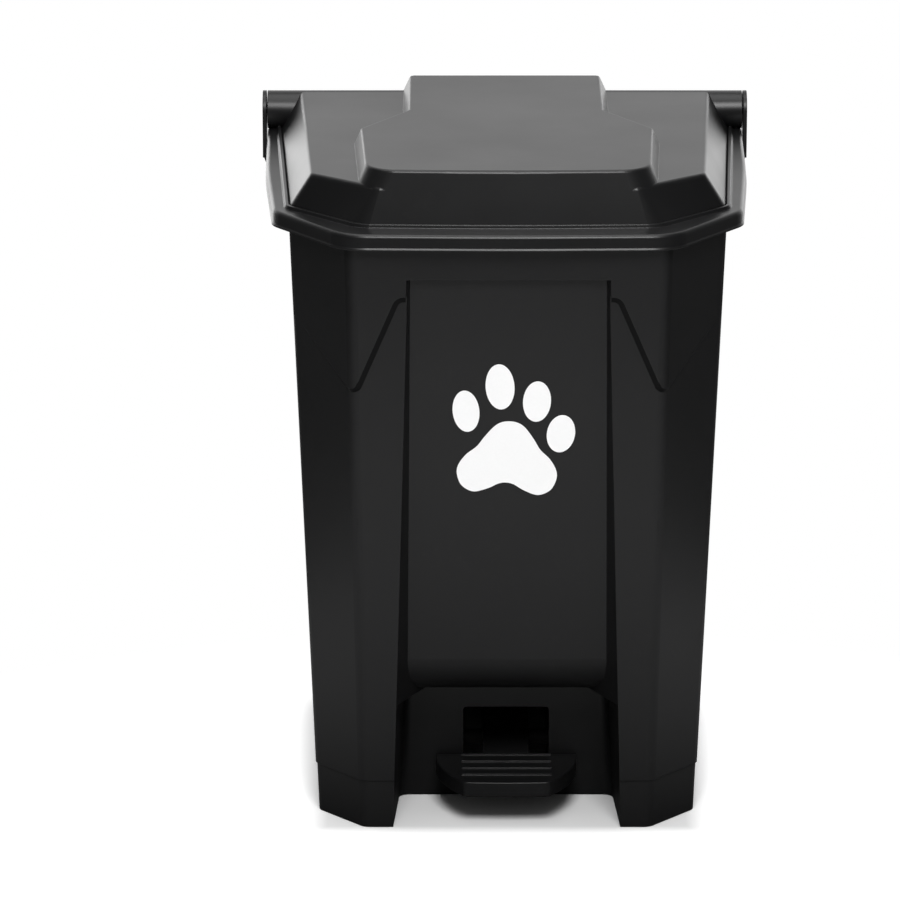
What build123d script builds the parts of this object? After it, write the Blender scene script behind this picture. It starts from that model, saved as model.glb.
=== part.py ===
from build123d import *
import math
import os

os.makedirs("parts", exist_ok=True)

# Frame: +Z up, +X to the right seen from the front, the front faces -Y, millimetres.
# The origin is on the floor, in the middle of the closed pail's width and depth.

# ---------------------------------------------------------------- clearances
REST_GAP = 0.3            # between a piece and what it rests on, where the two can part
RUNNING_GAP = 0.05        # radial, a pin or a wire in its bore
PLAY = 1.2                # sideways play of the lever, the lid and the tread

# ---------------------------------------------------------------- lid: rim, flange and dome
LID_WALL = 2.8
RIM_TOP_Z = 535.5
SKIRT_DEPTH = 13.5
RIM_FRONT_OUT = 13.9      # how far the rim stands out from the top of the body
RIM_CORNER_OUT = 3.8
RIM_SIDE_OUT = 13.3
RIM_REAR_OUT = 14.8
RIM_SIDE_BACK = 2.9
RIM_FRONT_BOW = 4.0
RIM_SIDE_BOW = 3.6
RIM_FRONT_RADIUS = 36.0
RIM_SIDE_RADIUS = 30.0
RIM_EDGE_RADIUS = 3.5
RIM_BEAD = 0.9            # bead around the skirt's lower edge
RIM_BEAD_HEIGHT = 1.0
RIM_BEAD_SLOPE = 1.3
BOW_RADIUS = 1500.0       # eases the two straight halves of a bowed line into one curve
LEDGE_RISE = 3.0
LEDGE_WIDTH = 2.6
GROOVE_WIDTH = 1.6
DOME_FRONT_BORDER = 28.3  # from the rim's edge to the dome's foot, at the height of the ledge
DOME_CORNER_BORDER = 14.0
DOME_SIDE_BORDER = 15.0
DOME_SIDE_BACK = 7.5
DOME_REAR_BORDER = 13.0
DOME_FRONT_BOW = 4.5
DOME_CORNER_LEAN = 15.0   # how much narrower the dome is at its top
DOME_SIDE_LEAN = 17.6
DOME_SIDE_FORWARD = 11.0
DOME_REAR_LEAN = 16.9
DOME_FRONT_LEAN = 0.207   # how far the dome's front leans back for each millimetre of height
DOME_SIDE_RADIUS = 12.0
DOME_FRONT_RADIUS_LOW = 28.0
DOME_FRONT_RADIUS_TOP = 12.0
FRONT_TRIM = 0.3          # dome and panel are trimmed by this much to their shared front face
DOME_EDGE_RADIUS = 4.0
PANEL_RISE = 14.0         # T-shaped panel above the dome
STEM_HALF = 84.5
STEM_REAR = 3.3           # how far the T's stem reaches behind the hinge line
STEM_FRONT_Y = 57.7
STEM_REAR_RADIUS = 4.0
WING_FLARE = 6.5
WING_REAR_Y = -13.0
WING_CORNER_OUT = 10.0    # from the dome's upper front corner to the T's
PANEL_SIDE_LEAN = 0.43    # how far the T's sides lean out for each millimetre downwards
PANEL_CORNER_RADIUS = 28.0
PANEL_BEND_RADIUS = 10.0
PANEL_EDGE_RADIUS = 3.0

# ---------------------------------------------------------------- hinge of the lid
HINGE_BACK = 2.5          # hinge line behind the top of the body's rear wall
HINGE_RISE = 16.0         # hinge line above the rim
ROLL_RADIUS = 17.0        # rear roll of the lid, around the hinge line
ROLL_PROUD = 0.4          # the roll stands above the dome's top by this much
EAR_THICKNESS = 3.3
EAR_GAP = 1.0             # between the lid's barrel end and the body's ear
EAR_ROOT = 14.0           # how far the bracket reaches in behind the body's rounded corner
EAR_DEPTH = 37.5          # from the hinge line down to the bracket's shelf
EAR_RIB_HEIGHT = 62.0
EAR_RIBS = 3
HINGE_PIN_RADIUS = 4.0
HINGE_PIN_REACH = 24.0    # length inside the lid's barrel
PIN_HEAD_RADIUS = 8.0
PIN_HEAD_THICKNESS = 1.5
BARREL_END_WALL = 7.0
BARREL_BOSS_RADIUS = 8.0
LID_OPEN_ANGLE = 75.0

# ---------------------------------------------------------------- outer body
WALL = 3.0
BODY_FRONT_Y_BOTTOM = -172.0
BODY_FRONT_Y_TOP = -196.4
BODY_REAR_Y_BOTTOM = 181.3
BODY_REAR_Y_TOP = 190.2
BODY_FRONT_HALF_BOTTOM = 123.6
BODY_FRONT_HALF_TOP = 134.2
CHAMFER_WIDTH_BOTTOM = 40.2
CHAMFER_WIDTH_TOP = 51.5
CHAMFER_DEPTH_BOTTOM = 46.3
CHAMFER_DEPTH_TOP = 73.0
REAR_FLARE_BOTTOM = 8.1
REAR_FLARE_TOP = 11.8
BODY_EDGE_RADIUS = 12.0
BODY_REAR_RADIUS = 28.0
FOOT_HEIGHT = 43.0
FOOT_INSET = 1.2
BAND_PROUD = 2.0          # the front of the upper band stands out by this much
BAND_SINK = 0.2           # the band's sides end this far inside the body's side walls
BAND_TIP_MARGIN = 6.6     # the block that the band is cut from starts this far below its tips
BAND_SIDE_DROP = 87.4     # heights of the band's lower edge below the top of the body
BAND_FRONT_DROP = 53.5
BAND_TIP_DROP = 138.9
BAND_TIP_IN = 3.2
BAND_SIDE_IN = 5.7
BAND_FRONT_OUT = 9.8      # from the recess to where the band's lower edge turns down
BAND_TIP_RADIUS = 5.0
BAND_BEND_RADIUS = 10.0

# ---------------------------------------------------------------- front recess and pedal pocket
RECESS_DROP = 38.4        # from the top of the body to the recess
RECESS_BORDER_TOP = 49.6
RECESS_BORDER_BOTTOM = 25.5
RECESS_DEPTH_TOP = 4.5
RECESS_DEPTH_BOTTOM = 19.1
RECESS_SIDE_SLOPE = 0.5
PANEL_TURN_RADIUS = 40.0
POCKET_CEILING_Z = 112.5
POCKET_DEPTH = 85.4
POCKET_LEAN_BOTTOM = 5.0  # the pocket's back is narrower than its mouth by this much on each side
POCKET_LEAN_TOP = 17.6
POCKET_CORNER_RADIUS = 9.0
WINDOW_HALF = 37.3        # mouth of the tunnel that the pedal lever lies in
WINDOW_TOP_Z = 80.8
WINDOW_CORNER_RADIUS = 3.0
TUNNEL_RIB_BOTTOM_Z = 4.0

# ---------------------------------------------------------------- pedal, lever and push rod
PIVOT_Y = -25.0
PIVOT_Z = 32.0
PIVOT_RADIUS = 4.0
PIVOT_END = 7.0           # length of the pivot rod outside each rib
PIVOT_BOSS_RADIUS = 8.0
CLIP_THICKNESS = 1.2
CLIP_RADIUS = 7.0
CLIP_HUB_WALL = 1.3
CLIP_HUB_LENGTH = 3.6
BUSH_RADIUS = 7.0
CRANK_RADIUS = 26.0       # from the hinge line to the push rod's hole in the lid
CRANK_PLATE = 4.0
CRANK_EYE_WALL = 4.0
ROD_RADIUS = 2.5
ROD_BEND_RADIUS = 7.0
ROD_HOOK_LENGTH = 15.0
ROD_X = 28.0
LEVER_HALF = 20.0
LEVER_SHEET = 2.5
LEVER_EYE_RADIUS = 7.0
LEVER_FRONT_BACK = 11.6   # from the tread's front edge to the lever's
LEVER_FRONT_DEPTH = 7.5
LEVER_MIDDLE_RISE = 10.0
LEVER_KNEE_FORWARD = 21.0
TREAD_TOP_Z = 39.0
TREAD_PLATE = 3.0
TREAD_LIP = 13.0
TREAD_LIP_WALL = 2.5
TREAD_DEPTH = 74.6
TREAD_REAR_GAP = 4.4      # from the pocket's back wall
TREAD_HALF = 61.0
TREAD_SIDE_LENGTH = 15.0
TREAD_BEND_IN = 8.5
TREAD_BEND_BACK = 26.6
TREAD_FRONT_HALF = 36.4
TREAD_FRONT_BOW = 1.5
TREAD_CORNER_RADIUS = 6.0
TREAD_EDGE_RADIUS = 1.2
TREAD_BOSS_HEIGHT = 5.0
TREAD_BOSS_RADIUS = 5.0
GRIP_RIBS = 4
GRIP_RIB_PITCH = 17.5
GRIP_RIB_FIRST_BACK = 18.6
GRIP_RIB_OUT = 2.6
GRIP_RIB_WIDTH = 2.4
GRIP_RIB_HEIGHT = 1.4
TREAD_SCREW_BACK = 37.6
TREAD_SCREW_HALF_PITCH = 12.0
SCREW_RADIUS = 2.0
SCREW_HEAD_RADIUS = 4.0
SCREW_HEAD_HEIGHT = 2.2
TREAD_SCREW_LENGTH = 8.5
GUIDE_Z = 300.0
GUIDE_PLATE = 3.0
GUIDE_HEIGHT = 16.0
GUIDE_SCREW_HALF_PITCH = 14.0
GUIDE_RING_WALL = 3.0
GUIDE_ROD_GAP = 1.0
GUIDE_SCREW_LENGTH = 8.0
GUIDE_BOSS_HEIGHT = 3.8
GUIDE_BOSS_WALL = 1.0
WIRE_HOLE_GAP = 3.0       # around the push rod, where it leaves the tunnel

# ---------------------------------------------------------------- inner bucket and bail
BUCKET_WALL = 2.5
BUCKET_DROP = 65.4        # from the top of the body to the bucket's rim
BUCKET_FRONT_GAP = 14.1   # between the recess panel's skin and the bucket
BUCKET_REAR_GAP = 2.1     # between the bucket's rim and the body's walls
BUCKET_SIDE_GAP = 0.5
BUCKET_SIDE_DRAFT = 18.0  # narrower by this much on each side at the bottom
BUCKET_FRONT_DRAFT = 3.0
BUCKET_REAR_DRAFT = 14.0
BUCKET_FRONT_RADIUS = 24.0
BUCKET_REAR_CUT = 35.0
BUCKET_BEND_RADIUS = 10.0
ROD_CHANNEL_MOUTH_HALF = 80.0
ROD_CHANNEL_HALF = 52.0
ROD_CHANNEL_DEPTH = 38.0
BUCKET_SIDE_FLANGE = 13.5
BUCKET_FRONT_FLANGE = 6.0
BUCKET_REAR_FLANGE = 4.0
BUCKET_LIP = 15.0
BUCKET_GAP = 5.0          # around the pocket and the tunnel, inside the bucket's hollows
NOTCH_FORWARD = 31.0      # the rim's notch runs from here to there beside the bail's pivot
NOTCH_BACK = 9.0
BAIL_RADIUS = 2.0
BAIL_Y = 5.0
BAIL_DROP = 12.0          # from the bucket's rim down to the bail's pivot
BAIL_OUT = 10.0           # from the bucket's side to the bail
BAIL_GRIP_OUT = 2.0
BAIL_RISE_LENGTH = 23.0
BAIL_BEND_RADIUS = 5.0
BAIL_CORNER_RADIUS = 32.0
BUCKET_RIM_RADIUS = 40.0
BAIL_BUSH_RADIUS = 3.6
BAIL_BUSH_FLANGE_RADIUS = 5.5
BAIL_BUSH_FLANGE = 1.5
BAIL_BOSS_RADIUS = 6.5
BAIL_BOSS_OUT = 2.5
BAIL_HOOK_GAP = 2.0       # between the bail's bent end and the bucket's wall
BAIL_HOOK_LENGTH = 9.0

# ---------------------------------------------------------------- printed paw
PRINT_THICKNESS = 0.3
PAW_Z = 333.6
PAW_TILT = -3.5
PAW_HALF_WIDTH = 41.0
PAW_TOP = 34.5
PAW_SHOULDER = (28.5, 7.0)
PAW_SIDE_Z = -13.0
PAW_BOTTOM = (26.0, -31.0)
PAW_NOTCH_Z = -22.0
# Each toe: centre from the pad's centre, half width, half height, lean in degrees.
PAW_TOES = (
    (-35.5, 42.3, 11.3, 18.6, 6.0),
    (-6.8, 64.2, 12.2, 20.3, 4.0),
    (24.4, 51.0, 11.8, 18.2, -4.0),
    (44.8, 22.0, 11.9, 16.9, -9.0),
)

# ---------------------------------------------------------------- sizes that follow from the others
RIM_BOTTOM_Z = RIM_TOP_Z - SKIRT_DEPTH
FLANGE_UNDER_Z = RIM_TOP_Z - LID_WALL
BODY_TOP_Z = FLANGE_UNDER_Z - REST_GAP
BODY_SIDE_HALF_TOP = BODY_FRONT_HALF_TOP + CHAMFER_WIDTH_TOP
BODY_SIDE_HALF_BOTTOM = BODY_FRONT_HALF_BOTTOM + CHAMFER_WIDTH_BOTTOM
HINGE_Y = BODY_REAR_Y_TOP + HINGE_BACK
HINGE_Z = RIM_TOP_Z + HINGE_RISE
EAR_SHELF_Z = HINGE_Z - EAR_DEPTH
EAR_FOOT_Z = EAR_SHELF_Z - EAR_RIB_HEIGHT
RIM_FRONT_Y = BODY_FRONT_Y_TOP - RIM_FRONT_OUT
RIM_FRONT_HALF = BODY_FRONT_HALF_TOP + RIM_CORNER_OUT
RIM_SIDE_HALF = BODY_SIDE_HALF_TOP + RIM_SIDE_OUT
RIM_SIDE_Y = BODY_FRONT_Y_TOP + CHAMFER_DEPTH_TOP + RIM_SIDE_BACK
RIM_REAR_HALF = BODY_SIDE_HALF_TOP + REAR_FLARE_TOP + RIM_REAR_OUT
RIM_MIDDLE_HALF = (RIM_SIDE_HALF + RIM_REAR_HALF) / 2 + RIM_SIDE_BOW
RIM_MIDDLE_Y = (RIM_SIDE_Y + HINGE_Y) / 2
DOME_FRONT_Y = RIM_FRONT_Y + DOME_FRONT_BORDER
DOME_FRONT_HALF = RIM_FRONT_HALF - DOME_CORNER_BORDER
DOME_SIDE_HALF = RIM_SIDE_HALF - DOME_SIDE_BORDER
DOME_SIDE_Y = RIM_SIDE_Y + DOME_SIDE_BACK
DOME_REAR_HALF = RIM_REAR_HALF - DOME_REAR_BORDER
DOME_TOP_FRONT_HALF = DOME_FRONT_HALF - DOME_CORNER_LEAN
DOME_TOP_SIDE_HALF = DOME_SIDE_HALF - DOME_SIDE_LEAN
DOME_TOP_SIDE_Y = DOME_SIDE_Y - DOME_SIDE_FORWARD
DOME_TOP_REAR_HALF = DOME_REAR_HALF - DOME_REAR_LEAN
WING_FRONT_HALF = DOME_TOP_FRONT_HALF + WING_CORNER_OUT
WING_HALF = WING_FRONT_HALF + WING_FLARE
STEM_REAR_Y = HINGE_Y + STEM_REAR
LEDGE_Z = RIM_TOP_Z + LEDGE_RISE
DOME_TOP_Z = HINGE_Z + ROLL_RADIUS - ROLL_PROUD
PANEL_TOP_Z = DOME_TOP_Z + PANEL_RISE
BARREL_HALF = RIM_REAR_HALF
EAR_INNER_X = BARREL_HALF + EAR_GAP
EAR_OUTER_X = EAR_INNER_X + EAR_THICKNESS
RECESS_TOP_Z = BODY_TOP_Z - RECESS_DROP
RECESS_HALF_TOP = BODY_FRONT_HALF_TOP - RECESS_BORDER_TOP
RECESS_HALF_BOTTOM = BODY_FRONT_HALF_BOTTOM - RECESS_BORDER_BOTTOM
FRONT_LEAN = (BODY_FRONT_Y_TOP - BODY_FRONT_Y_BOTTOM) / BODY_TOP_Z
REAR_LEAN = (BODY_REAR_Y_TOP - BODY_REAR_Y_BOTTOM) / BODY_TOP_Z
RECESS_PANEL_Y_TOP = BODY_FRONT_Y_BOTTOM + FRONT_LEAN * RECESS_TOP_Z + RECESS_DEPTH_TOP
RECESS_PANEL_Y_BOTTOM = BODY_FRONT_Y_BOTTOM + FRONT_LEAN * POCKET_CEILING_Z + RECESS_DEPTH_BOTTOM
POCKET_BACK_Y = BODY_FRONT_Y_BOTTOM + POCKET_DEPTH
POCKET_BACK_HALF_BOTTOM = RECESS_HALF_BOTTOM - POCKET_LEAN_BOTTOM
POCKET_BACK_HALF_TOP = RECESS_HALF_TOP - POCKET_LEAN_TOP
BAND_SIDE_Z = BODY_TOP_Z - BAND_SIDE_DROP
BAND_FRONT_Z = BODY_TOP_Z - BAND_FRONT_DROP
BAND_TIP_Z = BODY_TOP_Z - BAND_TIP_DROP
BAND_TIP_HALF = BODY_FRONT_HALF_TOP - BAND_TIP_IN
BAND_SIDE_HALF = BODY_SIDE_HALF_TOP - BAND_SIDE_IN
BAND_FRONT_HALF = RECESS_HALF_TOP + BAND_FRONT_OUT
HALF_SWING = LID_OPEN_ANGLE / 2
CRANK_Y = HINGE_Y - CRANK_RADIUS * math.cos(math.radians(HALF_SWING))
CRANK_Z = HINGE_Z - CRANK_RADIUS * math.sin(math.radians(HALF_SWING))
CRANK_DRIFT = CRANK_RADIUS * (1 - math.cos(math.radians(HALF_SWING))) / 2
ROD_Y = CRANK_Y - CRANK_DRIFT
ROD_STROKE = 2 * CRANK_RADIUS * math.sin(math.radians(HALF_SWING))
LEVER_REACH = math.hypot(ROD_Y - PIVOT_Y, ROD_STROKE / 2)
PEDAL_TRAVEL = 2 * math.degrees(math.asin(ROD_STROKE / 2 / LEVER_REACH))
LEVER_DRIFT = LEVER_REACH * (1 - math.cos(math.radians(PEDAL_TRAVEL / 2)))
CRANK_HOLE_RADIUS = ROD_RADIUS + CRANK_DRIFT + LEVER_DRIFT + REST_GAP
EYE_Z = PIVOT_Z - ROD_STROKE / 2
FLOOR_UNDER_Z = FOOT_HEIGHT - WALL
LEVER_WEB_Z = TREAD_TOP_Z - TREAD_PLATE - TREAD_BOSS_HEIGHT
TREAD_REAR_Y = POCKET_BACK_Y - TREAD_REAR_GAP
TREAD_FRONT_Y = TREAD_REAR_Y - TREAD_DEPTH
TREAD_SIDE_Y = TREAD_REAR_Y - TREAD_SIDE_LENGTH
TREAD_BEND_Y = TREAD_FRONT_Y + TREAD_BEND_BACK
TREAD_BEND_HALF = TREAD_HALF - TREAD_BEND_IN
TREAD_SCREW_Y = TREAD_FRONT_Y + TREAD_SCREW_BACK
LEVER_FRONT_Y = TREAD_FRONT_Y + LEVER_FRONT_BACK
GRIP_RIB_FIRST_Y = TREAD_FRONT_Y + GRIP_RIB_FIRST_BACK
GRIP_RIB_HALF = TREAD_FRONT_HALF + GRIP_RIB_OUT
GUIDE_WALL_Y = BODY_REAR_Y_BOTTOM + REAR_LEAN * GUIDE_Z - WALL
GUIDE_SEAT_Y = GUIDE_WALL_Y - GUIDE_BOSS_HEIGHT
BUCKET_BOTTOM_Z = FOOT_HEIGHT + REST_GAP
BUCKET_TOP_Z = BODY_TOP_Z - BUCKET_DROP
SIDE_LEAN = (BODY_SIDE_HALF_TOP - BODY_SIDE_HALF_BOTTOM) / BODY_TOP_Z
BUCKET_RIM_HALF = BODY_SIDE_HALF_BOTTOM + SIDE_LEAN * BUCKET_TOP_Z - WALL - BUCKET_SIDE_GAP
BUCKET_HALF = BUCKET_RIM_HALF - BUCKET_SIDE_FLANGE
BUCKET_FRONT_Y = RECESS_PANEL_Y_BOTTOM + WALL + BUCKET_FRONT_GAP
BUCKET_RIM_REAR_Y = BODY_REAR_Y_BOTTOM + REAR_LEAN * BUCKET_TOP_Z - WALL - BUCKET_REAR_GAP
BUCKET_REAR_Y = BUCKET_RIM_REAR_Y - BUCKET_REAR_FLANGE
BAIL_Z = BUCKET_TOP_Z - BAIL_DROP
BAIL_HALF = BUCKET_HALF + BAIL_OUT
BAIL_GRIP_Y = BUCKET_FRONT_Y - BAIL_GRIP_OUT
BAIL_RISE_Y = BAIL_Y - BAIL_RISE_LENGTH
NOTCH_FRONT_Y = BAIL_Y - NOTCH_FORWARD
NOTCH_REAR_Y = BAIL_Y + NOTCH_BACK
OVERRUN = 1.0             # a cutting tool runs past the face that it opens
SAME_POINT = 0.1          # two corners nearer than this are the same corner
FRONT_CLEARANCE = 50.0    # cutting tools from the front start this far before the rim
FRONT_CLEAR_Y = RIM_FRONT_Y - FRONT_CLEARANCE


def between(start, end, share):
    """Value at a share of the way from start to end."""
    return start + (end - start) * share


def plan(corners, z, grow=0.0):
    """Level face, the same on both sides; corners are (x, y, radius) from the front to the rear."""
    right = [(x, y) for x, y, radius in corners]
    left = [(-x, y) for x, y in reversed(right) if x > 0]
    face = Face(Wire.make_polygon([*right, *left], close=True))
    for x, y, radius in corners:
        spots = (Vector(x, y), Vector(-x, y))
        picked = [v for v in face.vertices() if min((Vector(*v) - s).length for s in spots) < SAME_POINT]
        if radius:
            face = face.fillet_2d(radius, picked)
    if grow:
        face = offset(face, amount=grow).face()
    return Pos(0, 0, z) * face


def tapered(lower, upper):
    """Straight-sided block between two plan faces."""
    return loft([lower, upper], ruled=True)


def side_prism(points, half_width, radii=None):
    """Block with a (y, z) outline, as wide on both sides of the middle."""
    outline = Polyline(*[(0, y, z) for y, z in points], close=True)
    face = make_face(outline)
    for (y, z), radius in (radii or {}).items():
        picked = [v for v in face.vertices() if (Vector(*v) - Vector(0, y, z)).length < SAME_POINT]
        face = face.face().fillet_2d(radius, picked)
    return extrude(face, amount=half_width, dir=(1, 0, 0), both=True)


def front_prism(points, y_front, y_rear, radii=None):
    """Block with an (x, z) outline that runs from y_front to y_rear."""
    face = make_face(Polyline(*[(x, y_front, z) for x, z in points], close=True)).face()
    for (x, z), radius in (radii or {}).items():
        picked = [v for v in face.vertices() if (Vector(*v) - Vector(x, y_front, z)).length < SAME_POINT]
        face = face.fillet_2d(radius, picked)
    return extrude(face, amount=y_rear - y_front, dir=(0, 1, 0))


def span_box(x, y, z):
    """Block between pairs of coordinates."""
    size = [high - low for low, high in (x, y, z)]
    middle = [(high + low) / 2 for low, high in (x, y, z)]
    return Pos(*middle) * Box(*size)


def rod_x(radius, start, end, y, z):
    """Round bar along X between two x values."""
    return Pos((start + end) / 2, y, z) * Rot(0, 90, 0) * Cylinder(radius, abs(end - start))


def rod_y(radius, x, start, end, z):
    """Round bar along Y between two y values."""
    return Pos(x, (start + end) / 2, z) * Rot(90, 0, 0) * Cylinder(radius, abs(end - start))


def rod_z(radius, x, y, start, end):
    """Round bar along Z between two heights."""
    return Pos(x, y, (start + end) / 2) * Cylinder(radius, abs(end - start))


def wire_along(points, bend_radii, radius):
    """Round wire bent at each inner point of its route."""
    route = FilletPolyline(*points, radius=bend_radii)
    section = Plane(origin=route @ 0, z_dir=route % 0) * Circle(radius)
    return sweep(section, path=route)


def front_face_y(z):
    """Front of the body at a height, below the raised band."""
    return BODY_FRONT_Y_BOTTOM + FRONT_LEAN * z


def body_slice(z, grow=0.0):
    """Plan of the outer body at a height."""
    share = z / BODY_TOP_Z
    front_y = front_face_y(z)
    front_half = between(BODY_FRONT_HALF_BOTTOM, BODY_FRONT_HALF_TOP, share)
    side_half = front_half + between(CHAMFER_WIDTH_BOTTOM, CHAMFER_WIDTH_TOP, share)
    side_y = front_y + between(CHAMFER_DEPTH_BOTTOM, CHAMFER_DEPTH_TOP, share)
    rear_half = side_half + between(REAR_FLARE_BOTTOM, REAR_FLARE_TOP, share)
    rear_y = between(BODY_REAR_Y_BOTTOM, BODY_REAR_Y_TOP, share)
    corners = [
        (front_half, front_y, BODY_EDGE_RADIUS),
        (side_half, side_y, BODY_EDGE_RADIUS),
        (rear_half, rear_y, BODY_REAR_RADIUS),
    ]
    return plan(corners, z, grow)


def body_block(low_z, high_z, grow=0.0):
    """The body's tapered form between two heights."""
    return tapered(body_slice(low_z, grow), body_slice(high_z, grow))


def body_half_at(y, z):
    """Half width of the body's side wall at a place behind the chamfers."""
    share = z / BODY_TOP_Z
    side_half = between(
        BODY_FRONT_HALF_BOTTOM + CHAMFER_WIDTH_BOTTOM, BODY_FRONT_HALF_TOP + CHAMFER_WIDTH_TOP, share
    )
    side_y = front_face_y(z) + between(CHAMFER_DEPTH_BOTTOM, CHAMFER_DEPTH_TOP, share)
    rear_y = between(BODY_REAR_Y_BOTTOM, BODY_REAR_Y_TOP, share)
    flare = between(REAR_FLARE_BOTTOM, REAR_FLARE_TOP, share)
    return side_half + flare * (y - side_y) / (rear_y - side_y)


def front_hollow(grow):
    """Space of the front recess and the pedal pocket; grown by a wall, it is the skin around them."""
    side_view = [
        (FRONT_CLEAR_Y, -OVERRUN),
        (POCKET_BACK_Y + grow, -OVERRUN),
        (POCKET_BACK_Y + grow, POCKET_CEILING_Z + grow),
        (RECESS_PANEL_Y_BOTTOM + grow, POCKET_CEILING_Z + grow),
        (RECESS_PANEL_Y_TOP + grow, RECESS_TOP_Z + grow),
        (FRONT_CLEAR_Y, RECESS_TOP_Z + grow),
    ]
    turn = {(RECESS_PANEL_Y_BOTTOM + grow, POCKET_CEILING_Z + grow): PANEL_TURN_RADIUS - grow}
    space = side_prism(side_view, RECESS_HALF_BOTTOM * 2, turn)

    def half_front(z):
        return between(RECESS_HALF_BOTTOM, RECESS_HALF_TOP, z / RECESS_TOP_Z)

    def pocket_slice(z):
        back_half = between(POCKET_BACK_HALF_BOTTOM, POCKET_BACK_HALF_TOP, z / RECESS_TOP_Z)
        slope = (half_front(z) - back_half) / (POCKET_BACK_Y - front_face_y(z))
        clear_half = half_front(z) + slope * (front_face_y(z) - FRONT_CLEAR_Y)
        corners = [
            (clear_half + grow, FRONT_CLEAR_Y, 0),
            (back_half + grow, POCKET_BACK_Y + grow, POCKET_CORNER_RADIUS),
        ]
        return plan(corners, z)

    def recess_slice(z):
        clear_half = half_front(z) + RECESS_SIDE_SLOPE * (front_face_y(z) - FRONT_CLEAR_Y)
        back_half = half_front(z) - RECESS_SIDE_SLOPE * (POCKET_BACK_Y - front_face_y(z))
        corners = [
            (clear_half + grow, FRONT_CLEAR_Y, 0),
            (back_half + grow, POCKET_BACK_Y + grow, 0),
        ]
        return plan(corners, z)

    ceiling = POCKET_CEILING_Z + grow
    pocket = tapered(pocket_slice(-OVERRUN), pocket_slice(ceiling))
    recess = tapered(recess_slice(ceiling), recess_slice(RECESS_TOP_Z + grow))
    return space & (pocket + recess)


def make_ear(side):
    """Hinge bracket at one rear corner: ribs and a shelf from the body wall to an upright plate."""
    front_y = HINGE_Y - ROLL_RADIUS
    rear_y = HINGE_Y + ROLL_RADIUS
    foot_x = body_half_at(front_y, EAR_FOOT_Z)
    root_x = foot_x - EAR_ROOT
    outline = [
        (root_x, EAR_FOOT_Z),
        (foot_x, EAR_FOOT_Z),
        (EAR_OUTER_X, EAR_SHELF_Z),
        (root_x, EAR_SHELF_Z),
    ]
    bracket = front_prism([(side * x, z) for x, z in outline], front_y, rear_y)
    bay = (rear_y - front_y - EAR_RIBS * WALL) / (EAR_RIBS - 1)
    for index in range(EAR_RIBS - 1):
        start = front_y + WALL + index * (bay + WALL)
        bracket -= span_box(
            sorted((side * (root_x - OVERRUN), side * (EAR_OUTER_X + OVERRUN))),
            (start, start + bay),
            (EAR_FOOT_Z - OVERRUN, EAR_SHELF_Z - WALL),
        )
    plate = span_box(
        sorted((side * EAR_INNER_X, side * EAR_OUTER_X)),
        (front_y, rear_y),
        (EAR_SHELF_Z - WALL, HINGE_Z),
    )
    eye = rod_x(ROLL_RADIUS, side * EAR_INNER_X, side * EAR_OUTER_X, HINGE_Y, HINGE_Z)
    return bracket + plate + eye


def band_slice(z):
    """Plan of the upper band: proud at the front, it runs out into the body's sides."""
    share = z / BODY_TOP_Z
    front_half = between(BODY_FRONT_HALF_BOTTOM, BODY_FRONT_HALF_TOP, share)
    side_half = front_half + between(CHAMFER_WIDTH_BOTTOM, CHAMFER_WIDTH_TOP, share)
    side_y = front_face_y(z) + between(CHAMFER_DEPTH_BOTTOM, CHAMFER_DEPTH_TOP, share)
    corners = [
        (front_half, front_face_y(z) - BAND_PROUD, BODY_EDGE_RADIUS),
        (side_half - BAND_SINK, side_y, 0),
        (side_half - BAND_SINK, side_y + WALL, 0),
    ]
    return plan(corners, z)


def make_band():
    """Raised upper band; its lower edge comes down to a point on each side of the recess."""
    low_z = BAND_TIP_Z - BAND_TIP_MARGIN
    raised = tapered(band_slice(low_z), band_slice(BODY_TOP_Z))
    reach = EAR_OUTER_X + WALL
    tip = [
        (-reach, BAND_SIDE_Z),
        (-BAND_SIDE_HALF, BAND_SIDE_Z),
        (-BAND_TIP_HALF, BAND_TIP_Z),
        (-BAND_FRONT_HALF, BAND_FRONT_Z),
        (BAND_FRONT_HALF, BAND_FRONT_Z),
        (BAND_TIP_HALF, BAND_TIP_Z),
        (BAND_SIDE_HALF, BAND_SIDE_Z),
        (reach, BAND_SIDE_Z),
        (reach, BODY_TOP_Z),
        (-reach, BODY_TOP_Z),
    ]
    bends = {
        (-BAND_TIP_HALF, BAND_TIP_Z): BAND_TIP_RADIUS,
        (BAND_TIP_HALF, BAND_TIP_Z): BAND_TIP_RADIUS,
        (-BAND_FRONT_HALF, BAND_FRONT_Z): BAND_BEND_RADIUS,
        (BAND_FRONT_HALF, BAND_FRONT_Z): BAND_BEND_RADIUS,
    }
    return raised & front_prism(tip, FRONT_CLEAR_Y, 0, bends)


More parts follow.
